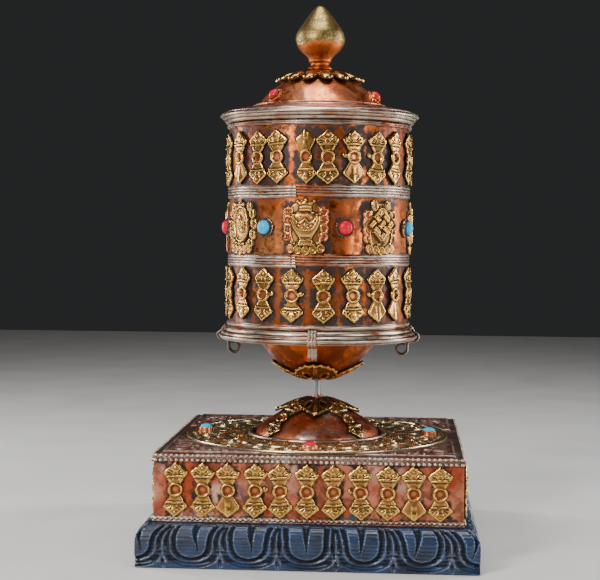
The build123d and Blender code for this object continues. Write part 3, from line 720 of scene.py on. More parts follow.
def silver_look(name, band=1.0, rubbed=0.5):
    """Silvered copper strip, worn through in streaks along its length."""
    look = Look(name)
    relief = look.value("relief")
    streak = look.noise(9, 4, 0.65, where=look.stretch(0.45, 0.45, 2.6), warp=0.3)
    fine = look.noise(2.0, 4, 0.65, where=look.stretch(0.5, 0.5, 2.0), offset=0.6)
    silver = look.mix(look.between(look.noise(18, 3, 0.6, offset=0.1), 0.4, 0.65), (0.64, 0.52, 0.42),
                      (0.40, 0.26, 0.19))
    copper = look.mix(look.between(look.noise(11, 3, 0.6, offset=1.1), 0.4, 0.65), (0.50, 0.19, 0.10),
                      (0.30, 0.085, 0.035))
    worn = look.between(look.plus(streak, look.times(look.value("tint"), 0.5)),
                        0.62 - 0.16 * rubbed, 0.74 - 0.16 * rubbed)
    colour = look.mix(worn, silver, copper)
    level = look.plus(relief, look.swing(fine, 0.5))
    # Dark where relief is low: grime in the grooves of the strips, and painted shade on the undersides of
    # the beads and the dome wire.
    grime_and_shade = look.between(level, 0.26, 0.60, 1.0, 0.0)
    colour = look.mix(look.times(grime_and_shade, 0.9 * band), colour, (0.045, 0.028, 0.022))
    spots = look.between(look.noise(1.3, 3, 0.6, offset=2.6), 0.62, 0.72)
    colour = look.mix(look.times(spots, 0.65), colour, (0.07, 0.045, 0.035))
    rough = look.between(fine, 0.3, 0.7, 0.26, 0.46)
    normal = look.bump(look.noise(1.2, 3, 0.6, where=look.stretch(0.5, 0.5, 1.6)), 0.3, 0.15)
    return look.finish(colour, rough, normal)


def stone_look(name, body, light, vein, coat=0.6):
    """Polished opaque stone."""
    look = Look(name, rough=0.22, metal=0.0)
    colour = look.mix(look.between(look.noise(2.6, 3, 0.6), 0.4, 0.65), body, light)
    colour = look.mix(look.times(look.between(look.noise(1.6, 4, 0.7, offset=0.7), 0.66, 0.74), 0.6),
                      colour, vein)
    look.shader.inputs["Coat Weight"].default_value = coat
    look.shader.inputs["Coat Roughness"].default_value = 0.06
    look.shader.inputs["Specular IOR Level"].default_value = 0.2
    look.shader.inputs["Subsurface Weight"].default_value = 0.05
    look.shader.inputs["Subsurface Scale"].default_value = 0.001
    normal = look.bump(look.noise(3.4, 2, 0.5), 0.08, 0.06)
    return look.finish(colour, look.between(look.noise(2.0, 3), 0.35, 0.65, 0.34, 0.46), normal)


def painted_wood_look(name):
    """Blue-black paint over carved hardwood: rubbed grey on the edges, painted shade darkening the grooves,
    and pale dust lines in them.
    """
    look = Look(name, rough=0.5, metal=0.0)
    relief = look.value("relief")
    grain = look.noise(2.2, 5, 0.7, where=look.stretch(1.0, 1.0, 3.0))
    broad = look.noise(16, 4, 0.6, offset=0.4)
    fine = look.noise(0.9, 4, 0.7, offset=1.3)
    colour = look.mix(look.between(broad, 0.35, 0.7), (0.003, 0.010, 0.030), (0.010, 0.034, 0.100))
    rub = look.plus(relief, look.swing(grain, 0.8))
    rub = look.between(rub, 0.78, 1.06)
    colour = look.mix(look.times(rub, 0.7), colour, (0.10, 0.15, 0.24))
    # Painted shade: low relief, in the grooves, turns almost black.
    colour = look.mix(look.between(relief, 0.42, 0.2, 0.0, 0.95), colour, (0.002, 0.003, 0.005))
    dust = look.times(look.value("tint"), look.between(fine, 0.42, 0.62))
    colour = look.mix(look.times(dust, 0.85), colour, (0.16, 0.15, 0.15))
    rough = look.between(grain, 0.35, 0.65, 0.30, 0.5)
    normal = look.bump(grain, 0.35, 0.18)
    normal = look.bump(fine, 0.25, 0.1, normal)
    look.feed(look.shader.inputs["Coat Weight"], look.between(relief, 0.4, 0.6, 0.0, 0.6))
    look.shader.inputs["Coat Roughness"].default_value = 0.22
    return look.finish(colour, look.math("MAXIMUM", rough, look.between(relief, 0.45, 0.25, 0.0, 0.95)),
                       normal)


def steel_look(name):
    """Drawn steel with a little rust."""
    look = Look(name, rough=0.35)
    grain = look.noise(0.8, 3, 0.6, where=look.stretch(1.0, 1.0, 0.12))
    colour = look.mix(look.between(grain, 0.35, 0.65), (0.20, 0.21, 0.23), (0.34, 0.35, 0.38))
    colour = look.mix(look.between(look.noise(4, 4, 0.6), 0.62, 0.75), colour, (0.16, 0.10, 0.07))
    return look.finish(colour, look.between(grain, 0.3, 0.7, 0.28, 0.5), look.bump(grain, 0.3, 0.08))


def plain_wood_look(name):
    """Bare softwood."""
    look = Look(name, rough=0.6, metal=0.0)
    rings = look.noise(5, 5, 0.6, where=look.stretch(1.0, 0.12, 1.0), warp=1.5)
    colour = look.mix(rings, (0.42, 0.27, 0.14), (0.20, 0.11, 0.05))
    return look.finish(colour, look.between(rings, 0.3, 0.7, 0.5, 0.7), look.bump(rings, 0.3, 0.2))


def paper_look(name):
    """Layers of yellowed paper."""
    look = Look(name, rough=0.8, metal=0.0)
    layers = look.noise(1.2, 3, 0.6)
    colour = look.mix(layers, (0.80, 0.72, 0.55), (0.62, 0.50, 0.33))
    return look.finish(colour, look.between(layers, 0.3, 0.7, 0.7, 0.9), look.bump(layers, 0.4, 0.15))


def silk_look(name):
    """Yellow silk with a fine weave."""
    look = Look(name, rough=0.45, metal=0.0)
    weave = look.node("ShaderNodeTexWave", bands_direction="Z")
    look.feed(weave.inputs["Vector"], look.place)
    weave.inputs["Scale"].default_value = 700.0
    weave.inputs["Distortion"].default_value = 1.5
    colour = look.mix(weave.outputs["Fac"], (0.60, 0.38, 0.05), (0.75, 0.50, 0.12))
    look.shader.inputs["Sheen Weight"].default_value = 0.4
    return look.finish(colour, look.between(look.noise(4), 0.3, 0.7, 0.35, 0.55),
                       look.bump(weave.outputs["Fac"], 0.3, 0.1))


def floor_look(name):
    """Pale, matt studio floor."""
    look = Look(name, rough=0.6, metal=0.0)
    mottle = look.noise(60, 3, 0.5)
    colour = look.mix(mottle, (0.70, 0.69, 0.67), (0.74, 0.73, 0.71))
    return look.finish(colour, look.between(mottle, 0.3, 0.7, 0.5, 0.65))


DRUM_COPPER = copper_look("drum_copper", (0.62, 0.16, 0.028), (0.34, 0.06, 0.010), (0.74, 0.27, 0.09), 1.0,
                          0.5, 0.24)
LID_COPPER = copper_look("lid_copper", (0.70, 0.22, 0.08), (0.42, 0.09, 0.025), (0.78, 0.34, 0.19), 0.75,
                         0.45, 0.28)
BOX_COPPER = copper_look("box_copper", (0.64, 0.22, 0.12), (0.46, 0.075, 0.03), (0.78, 0.46, 0.35), 0.95,
                         0.5, 0.3, 0.8)
# The dome copper's pale colour is a light grey that stands for a painted highlight, in its large pale
# patches and on its rubbed edges.
DOME_COPPER = copper_look("dome_copper", (0.56, 0.16, 0.07), (0.38, 0.07, 0.03), (0.66, 0.56, 0.53), 0.75,
                          0.5, 0.26)
PLATE_COPPER = copper_look("plate_copper", (0.38, 0.25, 0.21), (0.24, 0.11, 0.08), (0.56, 0.50, 0.48), 0.9,
                           0.6, 0.3)
BRASS = brass_look("antique_brass")
DARK_BRASS = brass_look("dark_brass", (0.46, 0.29, 0.11), (0.12, 0.06, 0.025), (0.20, 0.07, 0.03), 0.56)
OLD_BRASS = brass_look("old_brass", (0.54, 0.31, 0.10), (0.20, 0.09, 0.03), (0.28, 0.10, 0.03), 0.5)
PLATE_BRASS = brass_look("plate_brass", (0.80, 0.60, 0.34), (0.60, 0.40, 0.20), (0.50, 0.24, 0.12), 0.30)
SILVER = silver_look("worn_silver")
BEAD_SILVER = silver_look("bead_silver", 1.0, 0.1)
COLLAR_METAL = brass_look("collar_metal", (0.76, 0.62, 0.48), (0.32, 0.21, 0.15), (0.34, 0.15, 0.10), 0.5)
CORAL = stone_look("coral", (0.62, 0.0, 0.014), (0.74, 0.004, 0.030), (0.40, 0.002, 0.008), 0.22)
TURQUOISE = stone_look("turquoise", (0.0, 0.42, 0.74), (0.0, 0.54, 0.86), (0.005, 0.20, 0.30), 0.22)
PAINTED_WOOD = painted_wood_look("painted_wood")
STEEL = steel_look("drawn_steel")
PLAIN_WOOD = plain_wood_look("plain_wood")
PAPER = paper_look("roll_paper")
SILK = silk_look("roll_silk")


# ---------------------------------------------------------------- dorje plaques

DORJE_HALF = 14.5
FAN = [(0.0, 14.6), (1.0, 13.8), (3.6, 11.6), (5.9, 9.6), (6.2, 8.9), (5.9, 8.0), (4.6, 5.9), (3.2, 3.7),
       (2.8, 3.0), (2.8, 1.5)]


def dorje(seed, plain_top=False, plain_foot=False, stub=0):
    """One pressed plaque: two fans joined by an empty ring setting."""
    rng = np.random.default_rng(seed)
    bend = rng.uniform(-0.25, 0.25, 4)
    fan = FAN + mirrored(FAN[:0:-1], -1)

    def draw(u, v, plate):
        u = u + bend[0] * np.sin(v / 6.0) * 0.5 + bend[1] * 0.3
        v = v + bend[2] * np.sin(u / 4.0) * 0.6
        design = Drawing(u, v, plate)
        for side, plain in ((1, plain_top), (-1, plain_foot)):
            y = v * side
            ragged = 0.06 * np.sin(u * 3.1 + seed) + 0.06 * np.sin(y * 3.7 + 2 * seed)
            edge = to_polygon(u, y, fan) + ragged * (y > 9)
            design.shape(edge, 0.75, 1.1)
            inside = (edge < -0.2) & (y > 2.5)
            field = np.where(inside, -0.1 * smoothstep(-edge, 0.9, 1.6) * smoothstep(12.4, 10.2, y), 0)
            design.face += field + np.where(inside, ridge(u, 2.6, 0.35) * smoothstep(y, 8.5, 10.5), 0)
            if plain:
                design.face += np.where(inside, ridge(u, 1.6, 0.3) * smoothstep(y, 4, 7) - field, 0)
                continue
            bar = 6.9 - 0.02 * u * u
            marks = ridge(y - bar, 0.6, 0.7)
            marks = np.maximum(marks, ridge(np.hypot(u, y - 11.6), 0.6, 0.25))
            cuts = np.zeros(u.shape)
            for angle, first, last in ((-84, 1.6, 4.1), (-64, 1.9, 4.2), (-42, 2.2, 3.5), (42, 2.2, 3.5),
                                       (64, 1.9, 4.2), (84, 1.6, 4.1)):
                a = radians(angle + rng.uniform(-3, 3))
                slit = to_segment(u, y, (first * sin(a), 7.35 + first * cos(a)),
                                  (last * sin(a), 7.35 + last * cos(a)))
                cuts = np.maximum(cuts, ridge(slit, 0.33, 0.6))
            for x in (-1, 1):
                cuts = np.maximum(cuts, ridge(to_segment(u, y, (x * 1.3, 5.75), (x * 2.9, 6.0)), 0.26, 0.4))
            cuts *= rng.uniform(0.75, 1.0)
            design.face += np.where(inside, marks - cuts, 0)
        radius = np.hypot(u, v)
        design.edge = np.minimum(design.edge, radius - 3.85)
        collar = plate + 0.25 + ridge(radius - 3.12, 0.78, 1.0)
        design.face = np.where(radius < 3.9, np.where(radius < 2.36, 0.3 + 0.012 * radius**2, collar),
                               design.face)
        design.tint = np.where(radius < 2.3, 0.85, 0.0)
        if stub:
            arm = to_segment(u, v, (stub * 3.4, 0.2), (stub * 5.0, 0.9))
            design.stroke(arm, 1.25, 0.5, 0.1)
        return design

    return pressed(draw, 6.6, DORJE_HALF + 0.5, 0.29)


DORJES = [
    dorje(1), dorje(2, stub=-1), dorje(3, plain_foot=True), dorje(4),
    dorje(5, plain_foot=True, stub=-1), dorje(6, stub=1), dorje(7, plain_top=True),
]


def dorje_row(azimuths, height, seed, kinds, squeeze=()):
    """Plaques bent round the drum, each set a little out of true."""
    rng = np.random.default_rng(seed)
    parts = []
    for index, azimuth in enumerate(azimuths):
        kind = kinds[index % len(kinds)]
        part = turned(DORJES[kind], rng.uniform(-2.2, 2.2), rng.uniform(-3.0, 3.0), rng.uniform(0.975, 1.0),
                      rng.uniform(0.0, 0.12))
        if index in squeeze:
            part = scaled(part, x=0.86)
        parts.append(round_drum(part, azimuth, height + rng.uniform(-0.4, 0.4)))
    return join(parts)


piece("upper_dorjes", dorje_row(UPPER_ROW, UPPER_HEIGHT, 11, (3, 2, 0, 0, 6, 0, 4, 1, 3, 0, 5), (4,)),
      "drum", BRASS, "brass", "upper_dorje_row")
piece("lower_dorjes", dorje_row(LOWER_ROW, LOWER_HEIGHT, 12, (3, 1, 5, 5, 0, 3, 4, 2, 3, 0)), "drum",
      BRASS, "brass", "lower_dorje_row")
PANEL_LOW, PANEL_HIGH = high("box_bottom_trim")[2], low("box_top_trim")[2]
PANEL_MIDDLE = (PANEL_LOW + PANEL_HIGH) / 2
PLAQUE_PITCH = 13.5
PLAQUES_PER_WALL = 11
PANEL_SIDES = {"front": 0, "right": 90, "back": 180, "left": -90}
for number, (side, azimuth) in enumerate(PANEL_SIDES.items()):
    rng = np.random.default_rng(20 + number)
    row = []
    for place in range(PLAQUES_PER_WALL):
        kind = (0, 3, 2, 5, 0, 3, 0, 1, 3, 2, 0)[(place + 3 * number) % PLAQUES_PER_WALL]
        part = turned(DORJES[kind], rng.uniform(-2.5, 2.5), rng.uniform(-2, 2), 0.985,
                      rng.uniform(0.05, 0.2))
        part = scaled(part, x=1.05)
        across = (place - PLAQUES_PER_WALL // 2) * PLAQUE_PITCH + rng.uniform(-0.5, 0.5)
        row.append(on_wall(part, azimuth, across, PANEL_MIDDLE, WALL_HALF))
    piece(f"{side}_plaques", join(row), "stand", BRASS, "brass", f"{side}_dorjes")


# ---------------------------------------------------------------- the eight symbols

def lotus_seat(design, y=-11.6, wide=9.4):
    """Row of curled petals that each symbol stands on."""
    design.shape(to_oval(design.u, design.v, 0, y, wide, 3.1), 0.3, 1.5)
    for x in (-0.86, -0.44, 0.0, 0.44, 0.86):
        lift = 0.9 * abs(x) * 1.4
        petal = to_oval(design.u, design.v, x * wide, y - 0.6 + lift, 2.35, 2.7, -18 * x)
        design.shape(petal, 0.95, 1.3, 0.1)
        design.stroke(abs(petal + 0.55), 0.35, 1.25, None)
        design.bead(x * wide, y - 0.9 + lift, 0.8, 1.35)
    for x in (-0.65, -0.22, 0.22, 0.65):
        design.bead(x * wide, y + 2.6 + 1.0 * abs(x), 0.85, 1.0)


def side_scrolls(design, top=8.0, foot=-6.0, reach=10.6):
    """Ribbons that curl down both sides of a symbol, on a backing plate."""
    u, v = design.u, design.v
    design.shape(to_oval(u, v, 0, (top + foot) / 2 - 0.5, reach + 1.4, (top - foot) / 2 + 6.5), 0.15, 1.0)
    design.tint = 0.75 * smoothstep(np.abs(u), 5.5, 9.0)
    for side in (-1, 1):
        for level, size, start in ((top, 2.6, -60), ((top * 2 + foot) / 3, 2.9, -80),
                                   ((top + foot * 2) / 3, 2.7, -70), (foot, 2.3, -60)):
            curl = mirrored(arc(reach - 0.6, level, size, start, 205, 18, size * 0.35), side)
            design.shape(to_circle(u, v, side * (reach - 0.6), level, size + 0.2), 0.35, 1.0)
            design.stroke(to_line(u, v, curl), 0.75, 1.15)
        stem = mirrored(spline([(reach - 2.6, foot - 3.4), (reach - 1.4, foot + 2),
                                (reach - 2.2, (top + foot) / 2), (reach - 2.4, top + 1.5)], 8), side)
        design.stroke(to_line(u, v, stem), 0.8, 0.95)
        design.bead(side * (reach + 1.3), top - 2.6, 0.9, 1.0)
        design.bead(side * (reach + 1.2), foot + 2.2, 0.8, 0.9)


def vase(u, v, plate):
    """Vase of treasure with swags, a neck and a crown."""
    design = Drawing(u, v, plate)
    side_scrolls(design, 8.4, -4.6, 9.9)
    lotus_seat(design)
    foot = to_polygon(u, v, [(-3.4, -5.4), (3.4, -5.4), (5.6, -10.2), (-5.6, -10.2)])
    design.shape(foot, 1.9, 1.6)
    design.on_top(to_segment(u, v, (-4.6, -8.9), (4.6, -8.9)), 0.5, 0.4)
    design.groove(to_segment(u, v, (-3.4, -6.2), (3.4, -6.2)), 0.35, 0.5)
    body = to_polygon(u, v, [(-8.4, 6.4), (-4.4, 8.4), (4.4, 8.4), (8.4, 6.4), (8.7, 3.8), (7.4, 0.4),
                             (5.4, -3.0), (3.4, -5.8), (-3.4, -5.8), (-5.4, -3.0), (-7.4, 0.4),
                             (-8.7, 3.8)])
    design.shape(body, 2.1, 2.6)
    design.tint = np.where(body < 0, 0.0, design.tint)
    within = body < -0.2
    for side in (-1, 1):
        swag = mirrored(spline([(6.4, 6.6), (5.0, 4.0), (2.6, 2.4), (0, 4.6)], 10), side)
        design.emboss(within, to_line(u, v, swag), 0.55, 0.6)
        fall = mirrored(spline([(6.6, 5.6), (5.6, 2.2), (3.6, -0.8), (0, -1.8)], 10), side)
        design.emboss(within, to_line(u, v, fall), 0.45, 0.5)
        for x, y in ((1.5, -0.2), (3.2, 0.9), (4.5, 2.4), (1.2, 6.2), (3.0, 5.2)):
            design.emboss(within, np.hypot(u - side * x, v - y), 0.62, 0.45)
    design.emboss(within, np.hypot(u, v - 1.4), 1.0, 0.6)
    neck = to_polygon(u, v, [(-3.6, 8.0), (3.6, 8.0), (3.3, 11.6), (-3.3, 11.6)])
    design.shape(neck, 1.9, 1.2)
    design.on_top(to_segment(u, v, (-3.0, 8.8), (3.0, 8.8)), 0.5, 0.35)
    design.groove(to_segment(u, v, (-3.0, 9.8), (3.0, 9.8)), 0.3, 0.35)
    crown = to_polygon(u, v, [(-3.2, 11.3), (3.2, 11.3), (4.9, 14.0), (2.2, 12.9), (0, 14.7), (-2.2, 12.9),
                              (-4.9, 14.0)])
    design.shape(crown, 0.9, 0.9, 0.25)
    for x, y in ((-4.5, 13.7), (0, 14.4), (4.5, 13.7)):
        design.bead(x, y, 0.95, 1.3)
    for x in (-2.3, 2.3):
        design.bead(x, 12.4, 0.8, 1.2)
    return design


def knot(u, v, plate):
    """Endless knot of woven straps."""
    design = Drawing(u, v, plate)
    side_scrolls(design, 7.0, -5.4, 9.3)
    lotus_seat(design)
    for x, y in ((-4.6, 11.6), (4.6, 11.4)):
        design.shape(to_oval(u, v, x, y, 2.3, 3.4, -16 * np.sign(x)), 1.3, 1.4)
        design.stroke(abs(to_oval(u, v, x, y, 1.5, 2.5, -16 * np.sign(x))), 0.35, 1.5, None)
    p, q = (u + v - 1.8) / sqrt(2), (v - 1.8 - u) / sqrt(2)
    pitch, width, reach = 4.7, 1.5, 6.7
    field = np.maximum(np.abs(p), np.abs(q)) - reach - width
    design.edge = np.minimum(design.edge, np.maximum(field, np.abs(p) + np.abs(q) - 13.5))
    design.face = np.where(field < 0, plate, design.face)
    design.tint = np.where(field < 0, 0.0, design.tint)
    straps = []
    for turn, (a, b) in enumerate(((p, q), (q, p))):
        for number in (-1, 0, 1):
            strap = np.maximum(np.abs(a - number * pitch) - width, np.abs(b) - reach)
            for crossing in (-1, 0, 1):
                if (number + crossing + turn) % 2 == 0:
                    strap = np.maximum(strap, width + 0.55 - np.abs(b - crossing * pitch))
            straps.append(strap)
        for side in (-1, 1):
            loop = np.maximum(np.abs(b - side * (reach - width * 0.4)) - width * 0.8,
                              np.abs(a - side * pitch / 2) - pitch / 2 - width)
            straps.append(loop)
    for strap in straps:
        bar = plate + 1.75 * smoothstep(-strap, -0.1, 0.55) - 0.25 * smoothstep(-strap, 0.8, 1.5)
        design.face = np.where(strap < 0, np.maximum(design.face, bar), design.face)
    return design


def conch(u, v, plate):
    """Conch shell in an oval, beaded frame."""
    design = Drawing(u, v, plate)
    for side in (-1, 1):
        for x, y, size in ((9.6, 7.4, 2.6), (11.0, 2.0, 2.8), (10.2, -3.6, 2.7), (7.4, 11.2, 2.3),
                           (8.4, -8.0, 2.3)):
            curl = mirrored(arc(x, y, size, -80, 200, 16, size * 0.3), side)
            design.shape(to_circle(u, v, side * x, y, size), 0.3, 1.0)
            design.stroke(to_line(u, v, curl), 0.7, 1.1)
    lotus_seat(design, -11.8, 8.8)
    field = to_oval(u, v, 0, 1.6, 7.0, 9.6)
    design.shape(field, 0.5, 2.0, 0.3)
    design.stroke(abs(field + 0.4), 0.62, 1.25, 0.2)
    for step in range(26):
        a = 2 * pi * step / 26
        design.face += ridge(np.hypot(u - 5.35 * cos(a), v - 1.6 - 7.75 * sin(a)), 0.55, 0.5)
    shell = to_oval(u, v, 0.3, 1.8, 3.4, 5.4, 24)
    design.shape(shell, 1.4, 2.2)
    for step in range(6):
        whorl = arc(-0.9, 4.6, 0.9 + step * 0.85, 200, 330, 12)
        design.emboss(shell < 0, to_line(u, v, whorl), 0.36, 0.4)
    for x, y in ((0, 12.4), (-2.2, 12.0), (2.2, 12.0)):
        design.bead(x, y, 1.1, 1.4)
    design.shape(to_polygon(u, v, [(-2.4, 11.2), (2.4, 11.2), (0, 15.0)]), 1.3, 1.0)
    return design


def parasol(u, v, plate):
    """Domed parasol with hanging flaps."""
    design = Drawing(u, v, plate)
    side_scrolls(design, 3.0, -7.0, 8.6)
    lotus_seat(design)
    dome = np.maximum(to_circle(u, v, 0, 3.2, 9.4), 3.2 - v)
    design.shape(dome, 1.7, 3.4, 0.2)
    for x in (-6.3, -3.2, 0, 3.2, 6.3):
        rib = spline([(0, 12.6), (x * 0.75, 8.8), (x * 1.25, 3.6)], 8)
        design.emboss(dome < 0, to_line(u, v, rib), 0.4, 0.4)
    design.stroke(to_segment(u, v, (-9.6, 3.0), (9.6, 3.0)), 0.9, 1.7)
    for x in range(-4, 5):
        design.shape(to_oval(u, v, x * 2.15, 1.0, 1.0, 1.8), 1.1, 0.8, 0.15)
    design.stroke(to_segment(u, v, (0, 2.0), (0, -9.4)), 0.9, 1.5)
    for x in (-3.2, 3.2):
        design.stroke(to_line(u, v, spline([(x * 1.6, 1.0), (x, -3.0), (x * 1.3, -7.5)], 8)), 0.7, 1.0)
    design.bead(0, 13.4, 1.3, 1.6)
    return design


def fishes(u, v, plate):
    """Pair of upright fishes."""
    design = Drawing(u, v, plate)
    lotus_seat(design)
    side_scrolls(design, 6.0, -5.0, 9.4)
    for side in (-1, 1):
        spine = mirrored(spline([(-2.6, -8.0), (-4.8, -3.0), (-2.2, 4.0), (2.6, 10.4)], 10), side)
        chain = np.array(spine)
        distance = np.full(u.shape, 1e3)
        for k in range(len(chain) - 1):
            girth = 0.9 + 2.3 * sin(pi * min(1, (k + 4) / (len(chain) + 5))) ** 1.2
            distance = np.minimum(distance, to_segment(u, v, chain[k], chain[k + 1]) - girth)
        design.shape(distance, 1.7, 2.0, 0.25)
        design.face += np.where(distance < -0.2, 0.16 * np.sin(2.6 * (v + side * 0.4 * u))
                                * np.sin(2.6 * u), 0)
        design.stroke(to_line(u, v, spine), 0.4, 2.2, None)
        for spread in (-1.6, 1.6):
            tail = [chain[-1], chain[-1] + np.array([side * 1.2 + spread, 3.2])]
            design.stroke(to_line(u, v, tail), 1.0, 1.1)
        design.bead(side * -2.9, -6.2, 0.6, 2.4)
    return design


def lotus(u, v, plate):
    """Open lotus, its petals laid one over another."""
    design = Drawing(u, v, plate)
    side_scrolls(design, 3.0, -6.4, 9.0)
    lotus_seat(design)
    for tilt in (70, -70, 46, -46, 23, -23, 0):
        a = radians(tilt)
        petal = to_oval(u, v, -8.0 * sin(a), -4.6 + 8.6 * cos(a), 3.5, 7.4, tilt)
        design.face = np.where(petal < 0, plate + 0.15, design.face)
        design.shape(petal, 1.1 + 0.5 * cos(a), 2.4, 0.2)
        design.emboss(petal < 0, abs(petal + 0.6), 0.35, 0.3)
        vein = to_segment(u, v, (-3 * sin(a), -4.6 + 3 * cos(a)), (-13.6 * sin(a), -4.6 + 14.2 * cos(a)))
        design.emboss(petal < 0, vein, 0.35, 0.25)
    design.shape(to_oval(u, v, 0, -5.6, 6.0, 3.4), 1.5, 1.6)
    return design


def banner(u, v, plate):
    """Banner in three tiers."""
    design = Drawing(u, v, plate)
    side_scrolls(design, 5.0, -6.0, 9.2)
    lotus_seat(design)
    for level, wide in ((-6.2, 5.4), (-1.4, 6.2), (3.4, 7.0)):
        tier = to_polygon(u, v, [(-wide, level + 4.6), (wide, level + 4.6), (wide - 0.8, level),
                                 (-wide + 0.8, level)])
        design.shape(tier, 1.4, 3.0, 0.15)
        for k in range(-3, 4):
            fold = to_segment(u, v, (k * wide / 3.6, level + 0.3), (k * wide / 3.3, level + 4.0))
            design.emboss(tier < 0, fold, 0.55, 0.4)
        design.stroke(to_segment(u, v, (-wide, level + 4.4), (wide, level + 4.4)), 0.6, 1.8)
    cap = np.maximum(to_oval(u, v, 0, 8.0, 7.4, 4.6), 8.0 - v)
    design.shape(cap, 1.7, 2.2, 0.2)
    design.bead(0, 13.2, 1.5, 1.7)
    for side in (-1, 1):
        design.stroke(to_line(u, v, spline([(side * 7.0, 8.0), (side * 9.6, 4.0), (side * 8.4, -1.0)], 8)),
                      0.7, 1.0)
    return design


def wheel(u, v, plate):
    """Wheel with eight beaded spokes."""
    design = Drawing(u, v, plate)
    side_scrolls(design, 0.0, -8.0, 9.6)
    lotus_seat(design)
    y = 2.0
    radius = np.hypot(u, v - y)
    design.edge = np.minimum(design.edge, radius - 10.0)
    design.stroke(np.abs(radius - 8.3), 1.35, 1.4)
    design.face += ridge(np.abs(radius - 8.3), 0.4, 0.25)
    for step in range(8):
        a = radians(45 * step + 22.5)
        spoke = to_segment(u, v, (2.0 * cos(a), y + 2.0 * sin(a)), (7.4 * cos(a), y + 7.4 * sin(a)))
        design.stroke(spoke, 0.75, 1.1)
        design.bead(4.9 * cos(a), y + 4.9 * sin(a), 1.05, 1.45, None)
        b = radians(45 * step)
        design.bead(10.4 * cos(b), y + 10.4 * sin(b), 1.1, 1.3)
    design.stroke(radius, 2.6, 1.7)
    design.groove(np.abs(radius - 1.5), 0.3, 0.4)
    return design


SYMBOL_DRAWINGS = {
    "parasol": parasol, "conch": conch, "vase": vase, "knot": knot,
    "fishes": fishes, "lotus": lotus, "banner": banner, "wheel": wheel,
}
for name, azimuth in SYMBOLS.items():
    medallion = pressed(SYMBOL_DRAWINGS[name], 13.6, 15.4, 0.21, plate=0.55, scale=0.5)
    medallion = scaled(medallion, x=0.98, z=0.92)
    piece(f"medallion_{name}", round_drum(medallion, azimuth, SYMBOL_HEIGHT), "drum", BRASS, "brass",
          f"symbol_{name}")


# ---------------------------------------------------------------- the drum's sheet, hoops and stones

def crowding(azimuth, height, radius):
    """How close a point of the shell lies to the things soldered on it, from 0 to 1."""
    nearest = np.full(azimuth.shape, 1e3)
    for row, level, half_wide, half_high in (
        (UPPER_ROW, UPPER_HEIGHT, 4.6, 13.5), (LOWER_ROW, LOWER_HEIGHT, 4.6, 13.5),
        (tuple(SYMBOLS.values()), SYMBOL_HEIGHT, 10.5, 12.5), (CORALS + TURQUOISES, SYMBOL_HEIGHT, 2.6, 2.6),
    ):
        for place in row:
            turn = (azimuth - place + 180) % 360 - 180
            across = np.maximum(np.abs(np.radians(turn)) * radius - half_wide, 0)
            along = np.maximum(np.abs(height - level) - half_high, 0)
            nearest = np.minimum(nearest, np.hypot(across, along))
    return np.exp(-((nearest / 4.2) ** 2))


def shell_part():
    """Sheet of the drum, a little dented, with painted shade round the plaques and along the hoops, and its
    inner face tinted almost black.
    """
    azimuths, heights = np.meshgrid(np.linspace(0, 360, 420, endpoint=False),
                                    np.arange(SHELL_LOW, SHELL_HIGH + 0.1, 0.75))
    turn = np.radians(azimuths)
    dents = noise_over(ring_points(SHELL_RADIUS, turn, heights), 8.0, 31)
    outer = ring_points(SHELL_RADIUS - 0.12 + 0.11 * dents, turn, heights)
    inner = outer[::-1] * np.array([0.984, 0.984, 1.0])
    # Painted shade: the tint, and so the black, rises near the plaques, symbols and stones and along the
    # hoop edges.
    shade_and_oxide = crowding(azimuths, heights, SHELL_RADIUS) * 0.72
    for hoop in ("upper_rim", "upper_band", "lower_band", "lower_rim"):
        for edge in (low(hoop)[2], high(hoop)[2]):
            shade_and_oxide = np.maximum(shade_and_oxide, 0.62 * np.exp(-(((heights - edge) / 1.7) ** 2)))
    tint = np.concatenate([shade_and_oxide, np.full(inner.shape[:2], 0.8)])
    return grid(np.concatenate([outer, inner]), close_u=True, close_v=True, relief=np.full(tint.shape, 0.5),
                tint=tint)


piece("shell", shell_part(), "drum", DRUM_COPPER, "copper", "drum_shell")


def reeded(bottom, top, inner, proud, reeds):
    """Section of a reeded strip: rounded reeds between two thin lips, closed at the back."""
    lip = 0.35
    line = [(inner, bottom), (inner + proud * 0.55, bottom)]
    span = (top - bottom - 2 * lip) / reeds
    for reed in range(reeds):
        start = bottom + lip + reed * span
        for step in np.linspace(0.04, 0.96, 9):
            line.append((inner + proud * (0.42 + 0.58 * sin(pi * step) ** 0.7), start + span * step))
    line += [(inner + proud * 0.55, top), (inner, top)]
    return line


HOOP_LAP = 3.0  # degrees by which a hoop passes its own start


def hoop_part(bottom, top, proud, reeds, seam, drop, seed):
    """A strip bent round the drum, its two ends meeting a little out of line at the seam."""
    line = resample(reeded(bottom, top, SHELL_RADIUS - 0.1, proud, reeds), 0.28)
    sweep = np.linspace(0, 360 + HOOP_LAP, 470)
    turn = np.radians(seam + sweep)
    share = sweep / 360
    rise = drop * (share - 0.5)
    lap = 0.30 * smoothstep(sweep, 359, 361)
    radius = line[:, 0][:, None] + lap[None, :]
    height = line[:, 1][:, None] + rise[None, :]
    sheet = ring_points(radius, turn, height)
    wobble = noise_over(sheet, 6.0, seed)
    nick = noise_over(sheet, 1.9, seed + 5)
    sheet[..., 0] += (0.10 * wobble + 0.06 * nick) * np.sin(turn)
    sheet[..., 1] -= (0.10 * wobble + 0.06 * nick) * np.cos(turn)
    sheet[..., 2] += 0.12 * wobble
    relief = repeated(edge_wear(line, 0.9, 0.2), len(sweep))
    bare = 1.0 - smoothstep(sweep, 0, 34)
    part = grid(sheet, close_u=True, relief=relief, tint=bare[None, :] + np.zeros(relief.shape))
    count = len(line)
    index = np.arange(count * len(sweep)).reshape(count, len(sweep))
    part["f"] += [index[:, 0][::-1][None, :], index[:, -1][None, :]]
    return part


